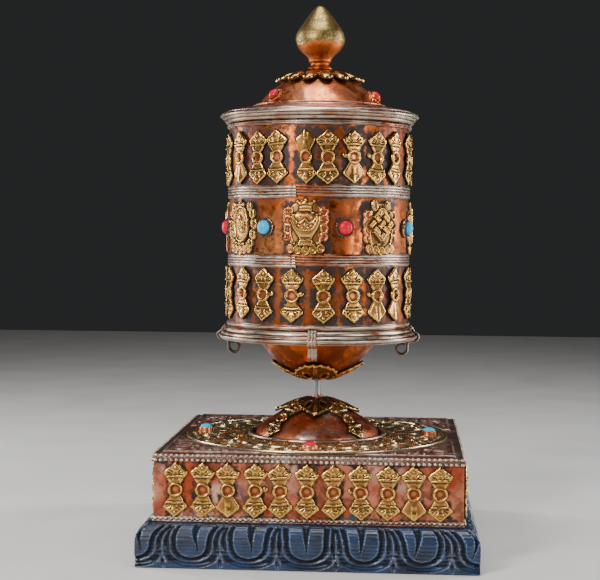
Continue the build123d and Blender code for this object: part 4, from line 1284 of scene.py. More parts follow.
for name, seam, drop, proud, reeds in (
    ("upper_rim", 40, 0.2, 1.45, 2), ("upper_band", -13.1, -0.9, 0.95, 4),
    ("lower_band", -13.1, -1.0, 0.95, 4), ("lower_rim", 150, 0.2, 1.45, 1),
):
    piece(f"{name}_strip", hoop_part(low(name)[2], high(name)[2], proud, reeds, seam, drop,
                                     40 + reeds + int(seam)), "drum", SILVER, "silvered", name)


def stone(radius, girdle, crown, segments=36):
    """A domed stone, standing on z 0."""
    dome = [(radius * cos(a), girdle + (crown - girdle) * sin(a)) for a in np.linspace(0, pi / 2, 14)]
    line = resample([(radius * 0.97, 0.0)] + dome[:-1] + [(0.02, crown)], 0.28)
    turn = np.linspace(0, 2 * pi, segments, endpoint=False)
    sheet = np.stack([line[:, 0][:, None] * np.cos(turn), line[:, 0][:, None] * np.sin(turn),
                      line[:, 1][:, None] + np.zeros(segments)], axis=-1)
    part = grid(sheet[:, ::-1], close_v=True)
    part["f"] = [part["f"][0][:, ::-1], np.arange(segments)[None, :],
                 (len(sheet) - 1) * segments + np.arange(segments)[::-1][None, :]]
    part["v"] = sheet.reshape(-1, 3)
    return part


def collar(stone_radius, wall, rim_radius, serration, teeth, foot=-0.3):
    """A setting: a smooth wall round the stone, inside a low scalloped ring."""
    line = [(stone_radius * 0.9, 0.4), (stone_radius - 0.05, wall - 0.3), (stone_radius + 0.15, wall),
            (stone_radius + 0.5, wall + 0.02), (stone_radius + 0.72, wall - 0.35),
            (stone_radius + 0.8, wall * 0.45), (stone_radius + 1.0, 0.75), (rim_radius - 0.55, 0.95),
            (rim_radius - 0.1, 0.7), (rim_radius, 0.35), (rim_radius - 0.05, foot),
            (stone_radius * 0.9, foot)]
    line = resample(line + line[:1], 0.2)[:-1]
    segments = 8 * teeth
    turn = np.linspace(0, 2 * pi, segments, endpoint=False)
    tooth = np.abs(np.sin(turn * teeth / 2)) ** 0.7
    outer = smoothstep(line[:, 0], stone_radius + 0.9, rim_radius)[:, None]
    radius = line[:, 0][:, None] - outer * serration * (1 - tooth)[None, :]
    height = line[:, 1][:, None] + np.where(line[:, 1] > 0.3, 1, 0)[:, None] * outer * 0.28 * tooth[None, :]
    sheet = np.stack([radius * np.cos(turn), radius * np.sin(turn), height], axis=-1)
    relief = np.clip(edge_wear(line, 0.7, 0.22)[:, None] + 0.25 * outer * (tooth - 0.6)[None, :], 0, 1)
    part = grid(sheet, close_u=True, close_v=True, relief=relief)
    part["f"] = [part["f"][0][:, ::-1]]
    return part


def set_round_drum(part, places):
    """Copies standing straight out of the drum."""
    parts = []
    for azimuth in places:
        outward, sideways = compass(azimuth)
        origin = outward * SHELL_RADIUS + np.array([0, 0, SYMBOL_HEIGHT])
        parts.append(on_plane(part, origin, sideways, (0, 0, 1), outward))
    return join(parts)


drum_stone = stone(3.75, 2.3, 4.9)
drum_stone["v"][:, 2] += 0.2
piece("coral_stones", set_round_drum(drum_stone, CORALS), "drum", CORAL, "coral", "drum_corals")
piece("turquoise_stones", set_round_drum(drum_stone, TURQUOISES), "drum", TURQUOISE, "turquoise",
      "drum_turquoises")
piece("drum_settings", set_round_drum(collar(3.75, 2.7, 5.35, 0.55, 18), CORALS + TURQUOISES), "drum",
      COLLAR_METAL, "bezel_metal", "drum_bezels")


# ---------------------------------------------------------------- cornices, bowl and clips

def moulding(points, reeds, depth):
    """Push rounded reeds out of a sloping line of points."""
    line = resample(points, 0.15)
    share = np.linspace(0, 1, len(line))
    swell_out = depth * (np.abs(np.sin(pi * reeds * share)) ** 0.6 - 0.5)
    return [tuple(p) for p in line + line_normals(line) * swell_out[:, None]]


FLOOR_Z = low("bottom_cornice")[2]
TOP_Z = high("bottom_cornice")[2]
LIP = high("bottom_cornice")[0]
lower_flare = moulding([(LIP - 0.9, FLOOR_Z + 0.6), (LIP - 0.25, FLOOR_Z + 2.2), (53.4, FLOOR_Z + 3.8),
                        (52.2, FLOOR_Z + 5.6), (51.2, TOP_Z - 0.1)], 3, 0.6)
lower_section = ([(34.0, FLOOR_Z), (53.6, FLOOR_Z), (54.4, FLOOR_Z + 0.25)] + lower_flare
                 + [(48.9, TOP_Z), (48.9, FLOOR_Z + 1.3), (3.1, FLOOR_Z + 1.3), (3.1, FLOOR_Z),
                    (34.0, FLOOR_Z)])
piece("lower_cornice", lathe(lower_section, 256, dent=0.07, dent_size=7, seed=51, step=0.4, closed=True,
                             wear_scale=0.22), "drum", SILVER, "silvered", "bottom_cornice")

bowl_line = [tuple(p) for p in spline([(4.0, 89.4), (9.0, 90.2), (14.5, 92.4), (20.4, 96.2), (25.2, 100.6),
                                       (29.4, 105.5), (32.3, 109.7)], 8)]
bowl_outer = bowl_line + [(32.8, 110.2), (34.3, 110.3), (34.5, 110.8), (34.1, 111.15)]
bowl_inner = [(r - 0.9, z + 0.5) for r, z in bowl_line[::-1]]
piece("bowl_sheet", lathe(bowl_outer + [(31.6, 111.1)] + bowl_inner, 200, dent=0.16, dent_size=11, seed=52,
                          step=0.5, closed=True), "drum", DRUM_COPPER, "copper", "bowl")


def on_cap(part, surface, lift=0.0, tip=26.0, up=1):
    """Drape a part drawn in plan over a turned surface (up 1) or under it (-1), its tips lifting off."""
    x, y, w = part["v"].T
    radius = np.hypot(x, y)
    line = np.array(surface)
    seat = np.interp(radius, line[:, 0], line[:, 1])
    rise = w + lift * np.clip(radius / tip, 0, 1.2) ** 3
    slope = np.interp(radius, line[:, 0], np.gradient(line[:, 1], line[:, 0]))
    steep = np.sqrt(1 + slope**2)
    out = -up * slope / steep * rise
    scale = 1 + out / np.maximum(radius, 1.0)
    moved = dict(part)
    moved["v"] = np.stack([x * scale, y * scale, seat + up * rise / steep], axis=1)
    if up < 0:
        moved["f"] = [block[:, ::-1] for block in part["f"]]
    return moved


def leaf_crown(pointed, hub, hole):
    """Four leaves round a hub, each with a vein, a raised ragged rim and two teardrop holes."""
    half = ([(0.0, 5.4), (5.0, 6.6), (9.5, 9.0), (13.0, 10.3), (17.0, 9.4), (20.5, 6.4), (23.4, 3.4),
             (26.2, 0.0)] if pointed else [(0.0, 5.4), (5.0, 7.0), (9.5, 9.8), (13.0, 11.6), (17.5, 11.3),
                                           (21.4, 8.8), (24.2, 5.2), (25.6, 0.0)])
    outline = [tuple(p) for p in spline(half, 8)]
    outline += [(x, -y) for x, y in outline[::-1][1:]]

    def draw(u, v, plate):
        design = Drawing(u, v, plate)
        quarter = np.round(np.arctan2(v, u) / (pi / 2)) * pi / 2
        x = u * np.cos(quarter) + v * np.sin(quarter)
        y = -u * np.sin(quarter) + v * np.cos(quarter)
        leaf = to_polygon(x, y, outline)
        along = np.arctan2(y, x - 12.0)
        leaf += (0.1 if pointed else 0.32) * np.sin(along * 19) * (x > 6)
        design.shape(leaf, 0.5, 5.0)
        design.shape(np.hypot(u, v) - hub, 0.5, 3.0)
        beads = 0.5 + 0.5 * np.sin(along * 19 + 1.0)
        design.face += np.where((leaf < 0) & (x > 5), ridge(leaf + 0.8, 0.75, 0.75) * (0.65 + 0.5 * beads),
                                0)
        design.face += np.where(leaf < -0.6, ridge(y * (1 + 0.02 * x), 1.5, 0.9) * smoothstep(x, 2, 7), 0)
        for side in (-1, 1):
            vein = to_segment(x, y, (6.0, side * 1.2), (18.0, side * 7.0))
            design.emboss(leaf < -0.8, vein, 0.6, 0.35)
            tear = to_oval(x, y, 14.2, side * 4.3, 3.9, 1.75, side * 16)
            design.emboss(leaf < -0.5, tear - 0.5, 0.7, 0.5)
            design.edge = np.maximum(design.edge, -tear)
        design.edge = np.maximum(design.edge, hole - np.hypot(u, v))
        return design

    return pressed(draw, 27.5, 27.5, 0.36, plate=0.9, base=0.15, scale=0.5)


rosette = scaled(leaf_crown(False, 10.0, 4.6), 0.955, 0.955, 0.75)
bowl_plan = [(0.0, 89.3)] + bowl_line
piece("bowl_leaves", on_cap(rosette, bowl_plan, 1.1, 26.0, -1), "drum", BRASS, "brass", "bowl_rosette")


def clip_part():
    """A ribbed strap over the cornice that curls into a loop under it, drawn at azimuth 0."""
    back = [(51.35, TOP_Z - 0.1), (52.4, TOP_Z - 1.5), (53.5, TOP_Z - 3.2), (LIP + 0.1, TOP_Z - 4.8),
            (LIP, FLOOR_Z + 0.8), (54.2, FLOOR_Z - 0.3), (51.6, FLOOR_Z - 0.4), (50.1, FLOOR_Z - 1.2),
            (49.6, FLOOR_Z - 2.8)]
    turn = np.radians(np.linspace(0, -300, 32))
    curl = [(46.9 + 2.6 * cos(a), FLOOR_Z - 5.2 + 2.6 * sin(a)) for a in turn]
    path = resample([tuple(p) for p in spline(back, 6)] + curl, 0.3)
    normal = -line_normals(path)
    across = np.linspace(-1, 1, 25)
    half_width = 2.45
    rib = 0.80 + 0.34 * np.abs(np.cos(across * pi * 1.5)) ** 0.7
    rib *= np.where(np.abs(across) > 0.97, 0.5, 1)

    def face(lift):
        """One face of the strap, lifted off its middle line by a height for each line along it."""
        return np.stack([path[:, :1] + normal[:, :1] * lift, across * half_width + np.zeros((len(path), 1)),
                         path[:, 1:] + normal[:, 1:] * lift], axis=-1)

    outer = face(rib)
    under = face(np.full(len(across), -0.22))[:, ::-1]
    loop = np.concatenate([outer, under], axis=1)
    relief = np.concatenate([np.clip(0.25 + 1.9 * (rib - 0.80), 0, 1) + np.zeros((len(path), 1)),
                             np.full(under.shape[:2], 0.35)], axis=1)
    part = grid(loop, close_v=True, relief=relief)
    r, y, z = part["v"].T
    part["v"] = np.stack([y, -r, z], axis=1)
    last = len(path) - 1
    ring = np.arange(loop.shape[1])
    part["f"] += [ring[None, :], (last * loop.shape[1] + ring)[::-1][None, :]]
    return part


one_clip = clip_part()
piece("clips", join([spun(one_clip, azimuth) for azimuth in (0, 90, 180, 270)]), "drum", BEAD_SILVER,
      "silvered", "cover_clips")


# ---------------------------------------------------------------- the lid

LID_SEAT = 229.7
LID_LIP = high("lid_cornice")[0]
upper_flare = moulding([(51.2, LID_SEAT + 0.1), (52.1, 231.0), (53.3, 232.6), (LID_LIP - 0.45, 233.9),
                        (LID_LIP - 0.7, 234.9), (52.6, 235.7)], 4, 0.5)
lid_section = ([(48.6, LID_SEAT)] + upper_flare + [(51.2, 236.0), (47.6, 235.2), (47.6, 227.6),
                                                   (48.6, 227.6), (48.6, LID_SEAT)])
piece("upper_cornice", lathe(lid_section, 256, dent=0.08, dent_size=8, seed=61, step=0.4, closed=True,
                             wear_scale=0.22), "lid", SILVER, "silvered", "lid_cornice")
roof_section = [(52.6, 235.2), (52.9, 235.9), (51.4, 236.55), (48.6, 236.6), (48.0, 237.2), (44.2, 237.5),
                (43.6, 238.1), (40.4, 238.45), (38.6, 238.7), (38.2, 239.5), (33.2, 239.5), (33.2, 238.4),
                (38.0, 237.4), (47.4, 235.4)]
piece("lid_roof", lathe(roof_section + roof_section[:1], 220, dent=0.12, dent_size=9, seed=63, step=0.4,
                        closed=True, wear_scale=0.3), "lid", DOME_COPPER, "copper")

dome_side = [tuple(p) for p in spline([(34.0, 240.6), (31.6, 243.6), (27.6, 247.7), (22.3, 251.8),
                                       (16.0, 255.6), (9.5, 258.7), (2.2, 260.6)], 8)]
dome_under = [(r - 0.5 * min(1, r / 10), z - 0.8) for r, z in dome_side[::-1]]
lid_line = [(33.0, 239.9), (36.4, 239.75), (36.6, 240.2), (36.2, 240.75),
            (34.8, 240.6)] + dome_side + dome_under
piece("lid_sheet", lathe(lid_line + [(33.0, 239.9)], 200, dent=0.14, dent_size=12, seed=62, step=0.5,
                         closed=True), "lid", LID_COPPER, "copper", "lid_dome")


def petal_ring(u, v, plate):
    """Scalloped collar: fourteen bulging petals round the finial."""
    design = Drawing(u, v, plate)
    radius, turn = np.hypot(u, v), np.arctan2(v, u)
    count = 14
    sector = np.round(turn * count / (2 * pi)) * 2 * pi / count
    x = u * np.cos(sector) + v * np.sin(sector)
    y = -u * np.sin(sector) + v * np.cos(sector)
    lobe = to_oval(x, y, 18.6, 0, 4.5, 3.85)
    design.shape(radius - 17.2, 0.0)
    design.shape(lobe, 2.3, 2.6)
    design.emboss(lobe < 0, lobe + 0.5, 0.5, 0.3)
    design.face += ridge(radius - 14.0, 0.8, 0.35) + ridge(radius - 9.5, 0.9, 0.4)
    design.edge = np.maximum(design.edge, 6.2 - radius)
    return design


collar_sheet = pressed(petal_ring, 23.6, 23.6, 0.36, plate=0.5, base=0.15, scale=0.5)
lid_plan = dome_side[::-1]
piece("petal_skirt", on_cap(collar_sheet, lid_plan, 1.5, 22.0), "lid", OLD_BRASS, "brass", "petal_collar")

finial_side = spline([(6.9, 260.9), (6.5, 261.7), (5.5, 262.7), (5.2, 263.5), (5.6, 264.3), (6.2, 265.0),
                      (6.2, 265.8), (7.4, 267.8), (10.0, 270.3), (12.0, 272.4), (13.1, 274.5),
                      (13.65, 276.8), (13.4, 279.0), (12.8, 281.1), (11.4, 283.5), (9.8, 285.7),
                      (8.3, 288.0), (6.5, 290.2), (4.9, 292.4), (3.1, 294.4), (1.6, 295.5), (0.06, 295.75)],
                     6)
FINIAL_SEGMENTS = 96
finial_part = lathe([(2.0, 256.0), (2.0, 260.6), (6.9, 260.55)] + [tuple(p) for p in finial_side],
                    FINIAL_SEGMENTS, dent=0.14, dent_size=5, seed=64, step=0.4)
finial_foot = np.arange(FINIAL_SEGMENTS)
finial_tip = len(finial_part["v"]) - FINIAL_SEGMENTS + finial_foot
finial_part["f"] += [finial_foot[::-1][None, :], finial_tip[None, :]]
# The copper shows below the belly, with a ragged edge.
ragged_height = finial_part["v"][:, 2] + 2.0 * noise(finial_part["v"], 6.0, 66)
finial_part["tint"] = smoothstep(ragged_height, 276.0, 271.6)


def finial_look():
    """Pebbly rubbed gold over copper, the copper showing below the belly."""
    look = Look("finial_gold")
    grain = look.noise(0.75, 3, 0.65)
    mottle = look.noise(4.5, 4, 0.65, offset=0.4)
    gold = look.mix(look.between(grain, 0.36, 0.62), (0.13, 0.08, 0.025), (0.46, 0.33, 0.12))
    gold = look.mix(look.between(mottle, 0.52, 0.74), gold, (0.14, 0.075, 0.03))
    copper = look.mix(look.between(look.noise(6, 4, 0.6, offset=0.8), 0.38, 0.66), (0.66, 0.19, 0.04),
                      (0.34, 0.08, 0.025))
    edge = look.plus(look.value("tint"), look.swing(grain, 0.7))
    colour = look.mix(look.between(edge, 0.34, 0.66), gold, copper)
    pits = look.between(look.noise(1.0, 3, 0.6, offset=1.9), 0.64, 0.72)
    colour = look.mix(look.times(pits, 0.6), colour, (0.06, 0.035, 0.02))
    normal = look.bump(grain, 0.55, 0.22)
    return look.finish(colour, look.between(grain, 0.3, 0.7, 0.5, 0.36), normal)


FINIAL_GOLD = finial_look()
piece("jewel_finial", finial_part, "lid", FINIAL_GOLD, "brass", "finial")

lid_seats = []
LID_STONE_HEIGHT = 243.9
LID_STONE_REACH = np.interp(LID_STONE_HEIGHT, [z for r, z in dome_side], [r for r, z in dome_side])
LID_STONE_FACING = (0.76, 0.65)  # outwards and upwards
for azimuth in LID_STONES:
    outward, sideways = compass(azimuth)
    out = outward * LID_STONE_FACING[0] + np.array([0, 0, LID_STONE_FACING[1]])
    up = np.cross(out, sideways)
    lid_seats.append((outward * LID_STONE_REACH + np.array([0, 0, LID_STONE_HEIGHT]), sideways, up, out))
lid_collar = collar(2.75, 2.5, 5.0, 0.3, 15, -0.6)
lid_stone = stone(2.75, 2.2, 3.7, 28)
lid_stone["v"][:, 2] += 0.2
piece("lid_settings", join([on_plane(lid_collar, *seat) for seat in lid_seats]), "lid", LID_COPPER,
      "bezel_metal", "lid_bezels")
piece("lid_stones", join([on_plane(lid_stone, *seat) for seat in lid_seats]), "lid", CORAL, "coral",
      "lid_corals")


# ---------------------------------------------------------------- the stand

def carved_plinth():
    """Four carved sides with lotus petals, each turning in a little along the floor, and a flat top."""
    half, top = PLINTH_HALF, PLINTH_TOP
    cushion_in, cushion_up = 7.6, 9.0
    side = [(3.2, 0.0), (0.4, 0.0), (0.0, 0.5)] + [(0.0, z) for z in np.linspace(1.0, top - cushion_up, 12)]
    side += [(cushion_in * (1 - cos(a)), top - cushion_up + cushion_up * sin(a))
             for a in np.radians(np.linspace(6, 90, 26))]
    side += [(cushion_in + 2.0, top), (cushion_in + 8.0, top)]
    line = resample(side, 0.42)
    inward = line_normals(line)
    columns = 380
    share = np.linspace(-1, 1, columns)
    s = repeated(run_along(line) - 2.8, columns)
    half_here = (half - line[:, 0])[:, None]
    u = share[None, :] * half_here
    pitch = 2 * half / 6
    parts = []
    for number in range(4):
        place = share[None, :] * half + np.zeros(s.shape)
        wander = noise_over(np.stack([place, s, np.full(s.shape, number * 50.0)], axis=-1), 9, 70)
        x = place + 0.35 * wander
        petal = np.round(x / pitch)
        local = x - petal * pitch
        skew = np.clip(petal, -2, 2) / 2
        depth = np.zeros(s.shape)
        dust = np.zeros(s.shape)
        wide = np.where(np.abs(petal) < 0.5, 1.08, 1.0)
        for width, foot, strength in ((12.6, 2.0, 1.0), (9.4, 4.4, 0.85)):
            bow = np.hypot(local / (width * wide), np.minimum(s - foot - 7.2, 0) / 7.2) - 1
            wall = np.where(s > foot + 7.2, (np.abs(local) - width * wide * (1 + 0.010 * (s - 14))),
                            bow * 7.6)
            cut = ridge(wall, 1.6, 2.2 * strength) * smoothstep(s, 25.5, 22.5)
            depth = np.maximum(depth, cut)
            dust = np.maximum(dust, strength * np.exp(-(((wall - 1.45) / 0.3) ** 2)) * smoothstep(s, 26, 22))
        tip = local + skew * (22.5 - s) * 0.28
        tear = np.maximum(np.abs(tip) - 1.25 * np.clip((s - 9.2) / 9.0, 0.0, 1.6), 9.0 - s)
        tear_cut = 1.5 * smoothstep(tear, 0.5, -0.9) * smoothstep(s, 26, 23)
        depth = np.maximum(depth, tear_cut)
        gap = 0.95 * np.clip(1 - (local / 6.2) ** 2, 0, 1)
        smile = np.maximum(np.abs(s - 4.6 - 0.045 * local**2) - gap, -1)
        depth = np.maximum(depth, 1.3 * smoothstep(smile, 0.3, -0.6) * (np.abs(local) < 6.4))
        seam = np.abs(np.abs(local) - pitch / 2)
        leaf = np.abs(seam - 0.16 * (s - 3.0) * (s < 16)) + np.where(s > 15, (s - 15) * 0.6, 0)
        depth = np.maximum(depth, ridge(leaf, 1.1, 1.4))
        dust = np.maximum(dust, 0.8 * np.exp(-(((leaf - 0.9) / 0.3) ** 2)))
        for shift in (1.8, 3.0, 4.2):
            line_cut = np.abs(seam - shift - 0.16 * (s - 3.0)) + np.where(s > 10, (s - 10) * 0.4, 0)
            depth = np.maximum(depth, ridge(line_cut, 0.4, 0.4) * (np.abs(local) > 12.9))
        tool = 0.10 * np.sin(3.3 * s + 1.5 * wander) + 0.10 * wander
        depth = depth + tool * smoothstep(s, 1.0, 2.5)
        depth *= smoothstep(s, 0.3, 1.6) * smoothstep(s, 27.5, 25.0)
        soft = blur(depth, 2.2)
        proud = (soft - depth) * smoothstep(s, 2.0, 5.0)
        # Painted light: relief is raised by 0.06 along the upper, upward-facing band of each side, so that
        # band shows a little lighter.
        relief = np.clip(0.5 + proud / 0.9 + 0.06 * (np.abs(s - 18) < 6), 0, 1)
        r = half_here - depth * np.abs(inward[:, 0])[:, None]
        z = line[:, 1][:, None] - depth * np.abs(inward[:, 1])[:, None]
        corner = smoothstep(half_here - np.abs(u), 3.0, 0.0) * 0.9
        sheet = np.stack([u * (1 - corner * 0.006), -(r - corner * 0.35), z], axis=-1)
        side_part = grid(sheet, relief=relief, tint=np.clip(dust, 0, 1) * 0.62)
        parts.append(spun(side_part, 90 * number))
    flat = line[-1]
    edge = half - flat[0]
    cap = np.array([[(-edge, -edge, top), (edge, -edge, top)], [(-edge, edge, top), (edge, edge, top)]])
    parts.append({"v": cap.reshape(-1, 3), "f": [np.array([[0, 1, 3, 2]])]})
    return join(parts)


def drilled_underside():
    """Flat bottom of the plinth with the nut pocket and the four screw holes."""
    curve = bpy.data.curves.new("underside_outline", "CURVE")
    curve.dimensions = "2D"
    curve.fill_mode = "BOTH"
    curve.resolution_u = 24
    curve.extrude = 2.9 * MM
    square = curve.splines.new("POLY")
    edge = (PLINTH_HALF - 2.6) * MM
    square.points.add(3)
    for point, (x, y) in zip(square.points, ((-1, -1), (1, -1), (1, 1), (-1, 1))):
        point.co = (x * edge, y * edge, 0, 1)
    square.use_cyclic_u = True
    for x, y, radius in [(0, 0, 9.0)] + [(a, b, 3.5) for a in (-60, 60) for b in (-60, 60)]:
        hole = curve.splines.new("POLY")
        hole.points.add(47)
        for k, point in enumerate(hole.points):
            a = 2 * pi * k / 48
            point.co = ((x + radius * cos(a)) * MM, (y + radius * sin(a)) * MM, 0, 1)
        hole.use_cyclic_u = True
    holder = bpy.data.objects.new("underside_curve", curve)
    bpy.context.scene.collection.objects.link(holder)
    bpy.context.view_layer.update()
    mesh = bpy.data.meshes.new_from_object(holder.evaluated_get(bpy.context.evaluated_depsgraph_get()))
    bpy.data.objects.remove(holder)
    vertices = np.array([v.co for v in mesh.vertices]) / MM + np.array([0, 0, 2.95])
    faces = [np.array([list(p.vertices)]) for p in mesh.polygons]
    part = {"v": vertices, "f": faces}
    ceiling = {"v": np.array([(-70, -70, 6.0), (-70, 70, 6.0), (70, 70, 6.0), (70, -70, 6.0)], float),
               "f": [np.array([[0, 1, 2, 3]])]}
    return join([part, ceiling])


piece("plinth_carving", carved_plinth(), "stand", PAINTED_WOOD, "painted_wood", "plinth")
piece("plinth_underside", drilled_underside(), "stand", PLAIN_WOOD, "plain_wood", smooth=False)


def wall_sheet(azimuth, seed):
    """One copper wall, a little dented, with painted shade round the plaques and along the trims."""
    columns = np.linspace(-WALL_HALF, WALL_HALF, 230)
    levels = np.linspace(PLINTH_TOP + 0.1, PLATE_TOP - 0.2, 52)
    across, height = np.meshgrid(columns, levels)
    dent = noise_over(np.stack([across, np.full(across.shape, seed * 40.0), height], axis=-1), 9, seed)
    near = np.full(across.shape, 1e3)
    for place in range(PLAQUES_PER_WALL):
        gap_x = np.maximum(np.abs(across - (place - PLAQUES_PER_WALL // 2) * PLAQUE_PITCH) - 4.4, 0)
        gap_z = np.maximum(np.abs(height - PANEL_MIDDLE) - 13, 0)
        near = np.minimum(near, np.hypot(gap_x, gap_z))
    # Painted shade: the tint rises beside the plaques and along the trims, where the copper turns black.
    shade_and_oxide = 0.55 * np.exp(-((near / 1.7) ** 2))
    shade_and_oxide = np.maximum(shade_and_oxide, 0.6 * np.exp(-(((height - PANEL_LOW) / 1.6) ** 2)))
    shade_and_oxide = np.maximum(shade_and_oxide, 0.6 * np.exp(-(((height - PANEL_HIGH) / 1.4) ** 2)))
    fade = smoothstep(WALL_HALF - np.abs(across), 0, 4)
    part = grid(np.stack([across, -(WALL_HALF - 0.12 + 0.1 * dent * fade), height], axis=-1), tint=shade_and_oxide,
                relief=0.5 + 0.35 * (1 - smoothstep(WALL_HALF - np.abs(across), 0, 1.2)))
    return spun(part, azimuth)


piece("copper_walls", join([wall_sheet(azimuth, 80 + azimuth // 90) for azimuth in (0, 90, 180, 270)]),
      "stand", BOX_COPPER, "copper", "box_walls")


def top_sheet():
    """Top plate, folded over the walls, with painted shade under the ring and near the rim."""
    ticks = np.linspace(-WALL_HALF - 0.05, WALL_HALF + 0.05, 220)
    x, y = np.meshgrid(ticks, ticks)
    dent = noise_over(np.stack([x, y, np.zeros(x.shape)], axis=-1), 10, 90)
    radius = np.hypot(x, y)
    rim = np.maximum(np.abs(x), np.abs(y))
    # Painted shade: on an even 0.30, the tint rises at the wire ring, under the scroll work inside it and
    # along the rim.
    near_ring = np.exp(-(((radius - 72) / 3.0) ** 2))
    shade_and_oxide = np.clip(0.30 + 0.35 * near_ring + 0.4 * (radius < 71) + 0.5
                    * np.exp(-(((rim - 77.5) / 1.5) ** 2)), 0, 1)
    level = PLATE_TOP - 0.03 + 0.05 * dent * (rim < 76)
    level = np.where(rim > WALL_HALF, PLATE_TOP - 0.8, level)
    return grid(np.stack([x, y, level], axis=-1), tint=shade_and_oxide, relief=np.full(x.shape, 0.5))


piece("top_sheet", top_sheet(), "stand", PLATE_COPPER, "copper", "box_top_plate")


BEAD_RADIUS, BEAD_PITCH = 1.14, 2.7


def bead_row(height, distance, radius, seed):
    """A row of slightly uneven beads round the box."""
    rng = np.random.default_rng(seed)
    parts = []
    count = int(2 * distance / BEAD_PITCH)
    for side in range(4):
        row = []
        for number in range(count):
            across = (number - (count - 1) / 2) * (2 * distance / count)
            jitter = rng.uniform(-0.12, 0.12, 3)
            centre = np.array([across + jitter[0], -distance + jitter[1] * 0.5, height + jitter[2] * 0.6])
            ball = blob(centre, radius * rng.uniform(0.95, 1.05), 1.0, 6, 8, (1, 0.15, 0.1))
            # Painted light and shade: relief rises on the side of each bead facing out and up and falls on
            # the side facing down and in.
            facing = (ball["v"] - centre) @ np.array([0, -0.7, 0.7]) / radius
            ball["relief"] = np.clip(0.30 + 0.75 * facing, 0, 1)
            row.append(ball)
        parts.append(spun(join(row), 90 * side))
    return join(parts)


def strip_frame(section, distance, seed):
    """A moulded strip mitred round the box: section is (out, height) points, closed."""
    line = resample(section + section[:1], 0.3)[:-1]
    ticks = np.linspace(-1, 1, 120)
    parts = []
    for side in range(4):
        out = repeated(distance + line[:, 0], len(ticks))
        sheet = np.stack([ticks * out, -out, repeated(line[:, 1], len(ticks))], axis=-1)
        shake = noise_over(sheet, 8, seed + side)
        fade = smoothstep(1 - np.abs(ticks), 0, 0.03)[None, :]
        sheet[..., 1] -= 0.10 * shake * fade
        sheet[..., 2] += 0.12 * shake * fade
        part = grid(sheet, close_u=True, relief=repeated(edge_wear(line, 0.8, 0.22), len(ticks)))
        parts.append(spun(part, 90 * side))
    return join(parts)


TRIM_TOP, TRIM_LOW = high("box_top_trim")[2], low("box_top_trim")[2]
FOOT_LOW, FOOT_TOP = low("box_bottom_trim")[2], high("box_bottom_trim")[2]
upper_strip = strip_frame([(-0.4, TRIM_LOW + 0.3), (-0.1, TRIM_LOW + 0.3), (0.1, TRIM_LOW + 1.6),
                           (0.35, TRIM_LOW + 2.2), (0.35, TRIM_LOW + 3.0), (0.1, TRIM_LOW + 3.4),
                           (0.0, TRIM_TOP - 0.9), (-2.2, TRIM_TOP - 0.8), (-2.4, PLATE_TOP - 0.1),
                           (-0.4, PLATE_TOP - 0.4)], WALL_HALF, 95)
piece("upper_trim_strip", upper_strip, "stand", PLATE_COPPER, "copper")
piece("upper_trim", join([bead_row(TRIM_TOP - BEAD_RADIUS, WALL_HALF + 0.1, BEAD_RADIUS * 0.84, 96),
                          bead_row(TRIM_LOW + BEAD_RADIUS, WALL_HALF + 0.35, BEAD_RADIUS * 1.02, 97)]),
      "stand", BEAD_SILVER, "silvered", "box_top_trim")
lower_strip = strip_frame([(-0.4, FOOT_LOW + 0.1), (0.5, FOOT_LOW + 0.1), (0.65, FOOT_LOW + 0.6),
                           (0.2, FOOT_LOW + 1.0), (0.2, FOOT_TOP - 0.2), (-0.4, FOOT_TOP - 0.2)], WALL_HALF,
                          98)
piece("lower_trim", join([lower_strip, bead_row(FOOT_LOW + 1.55, WALL_HALF + 0.3, BEAD_RADIUS, 99)]),
      "stand", BEAD_SILVER, "silvered", "box_bottom_trim")


RING = high("filigree_ring")[0] - 1.2
DOME_WIRE = high("dome_ring")[0] - 1.2
STONE_REACH = 62.5


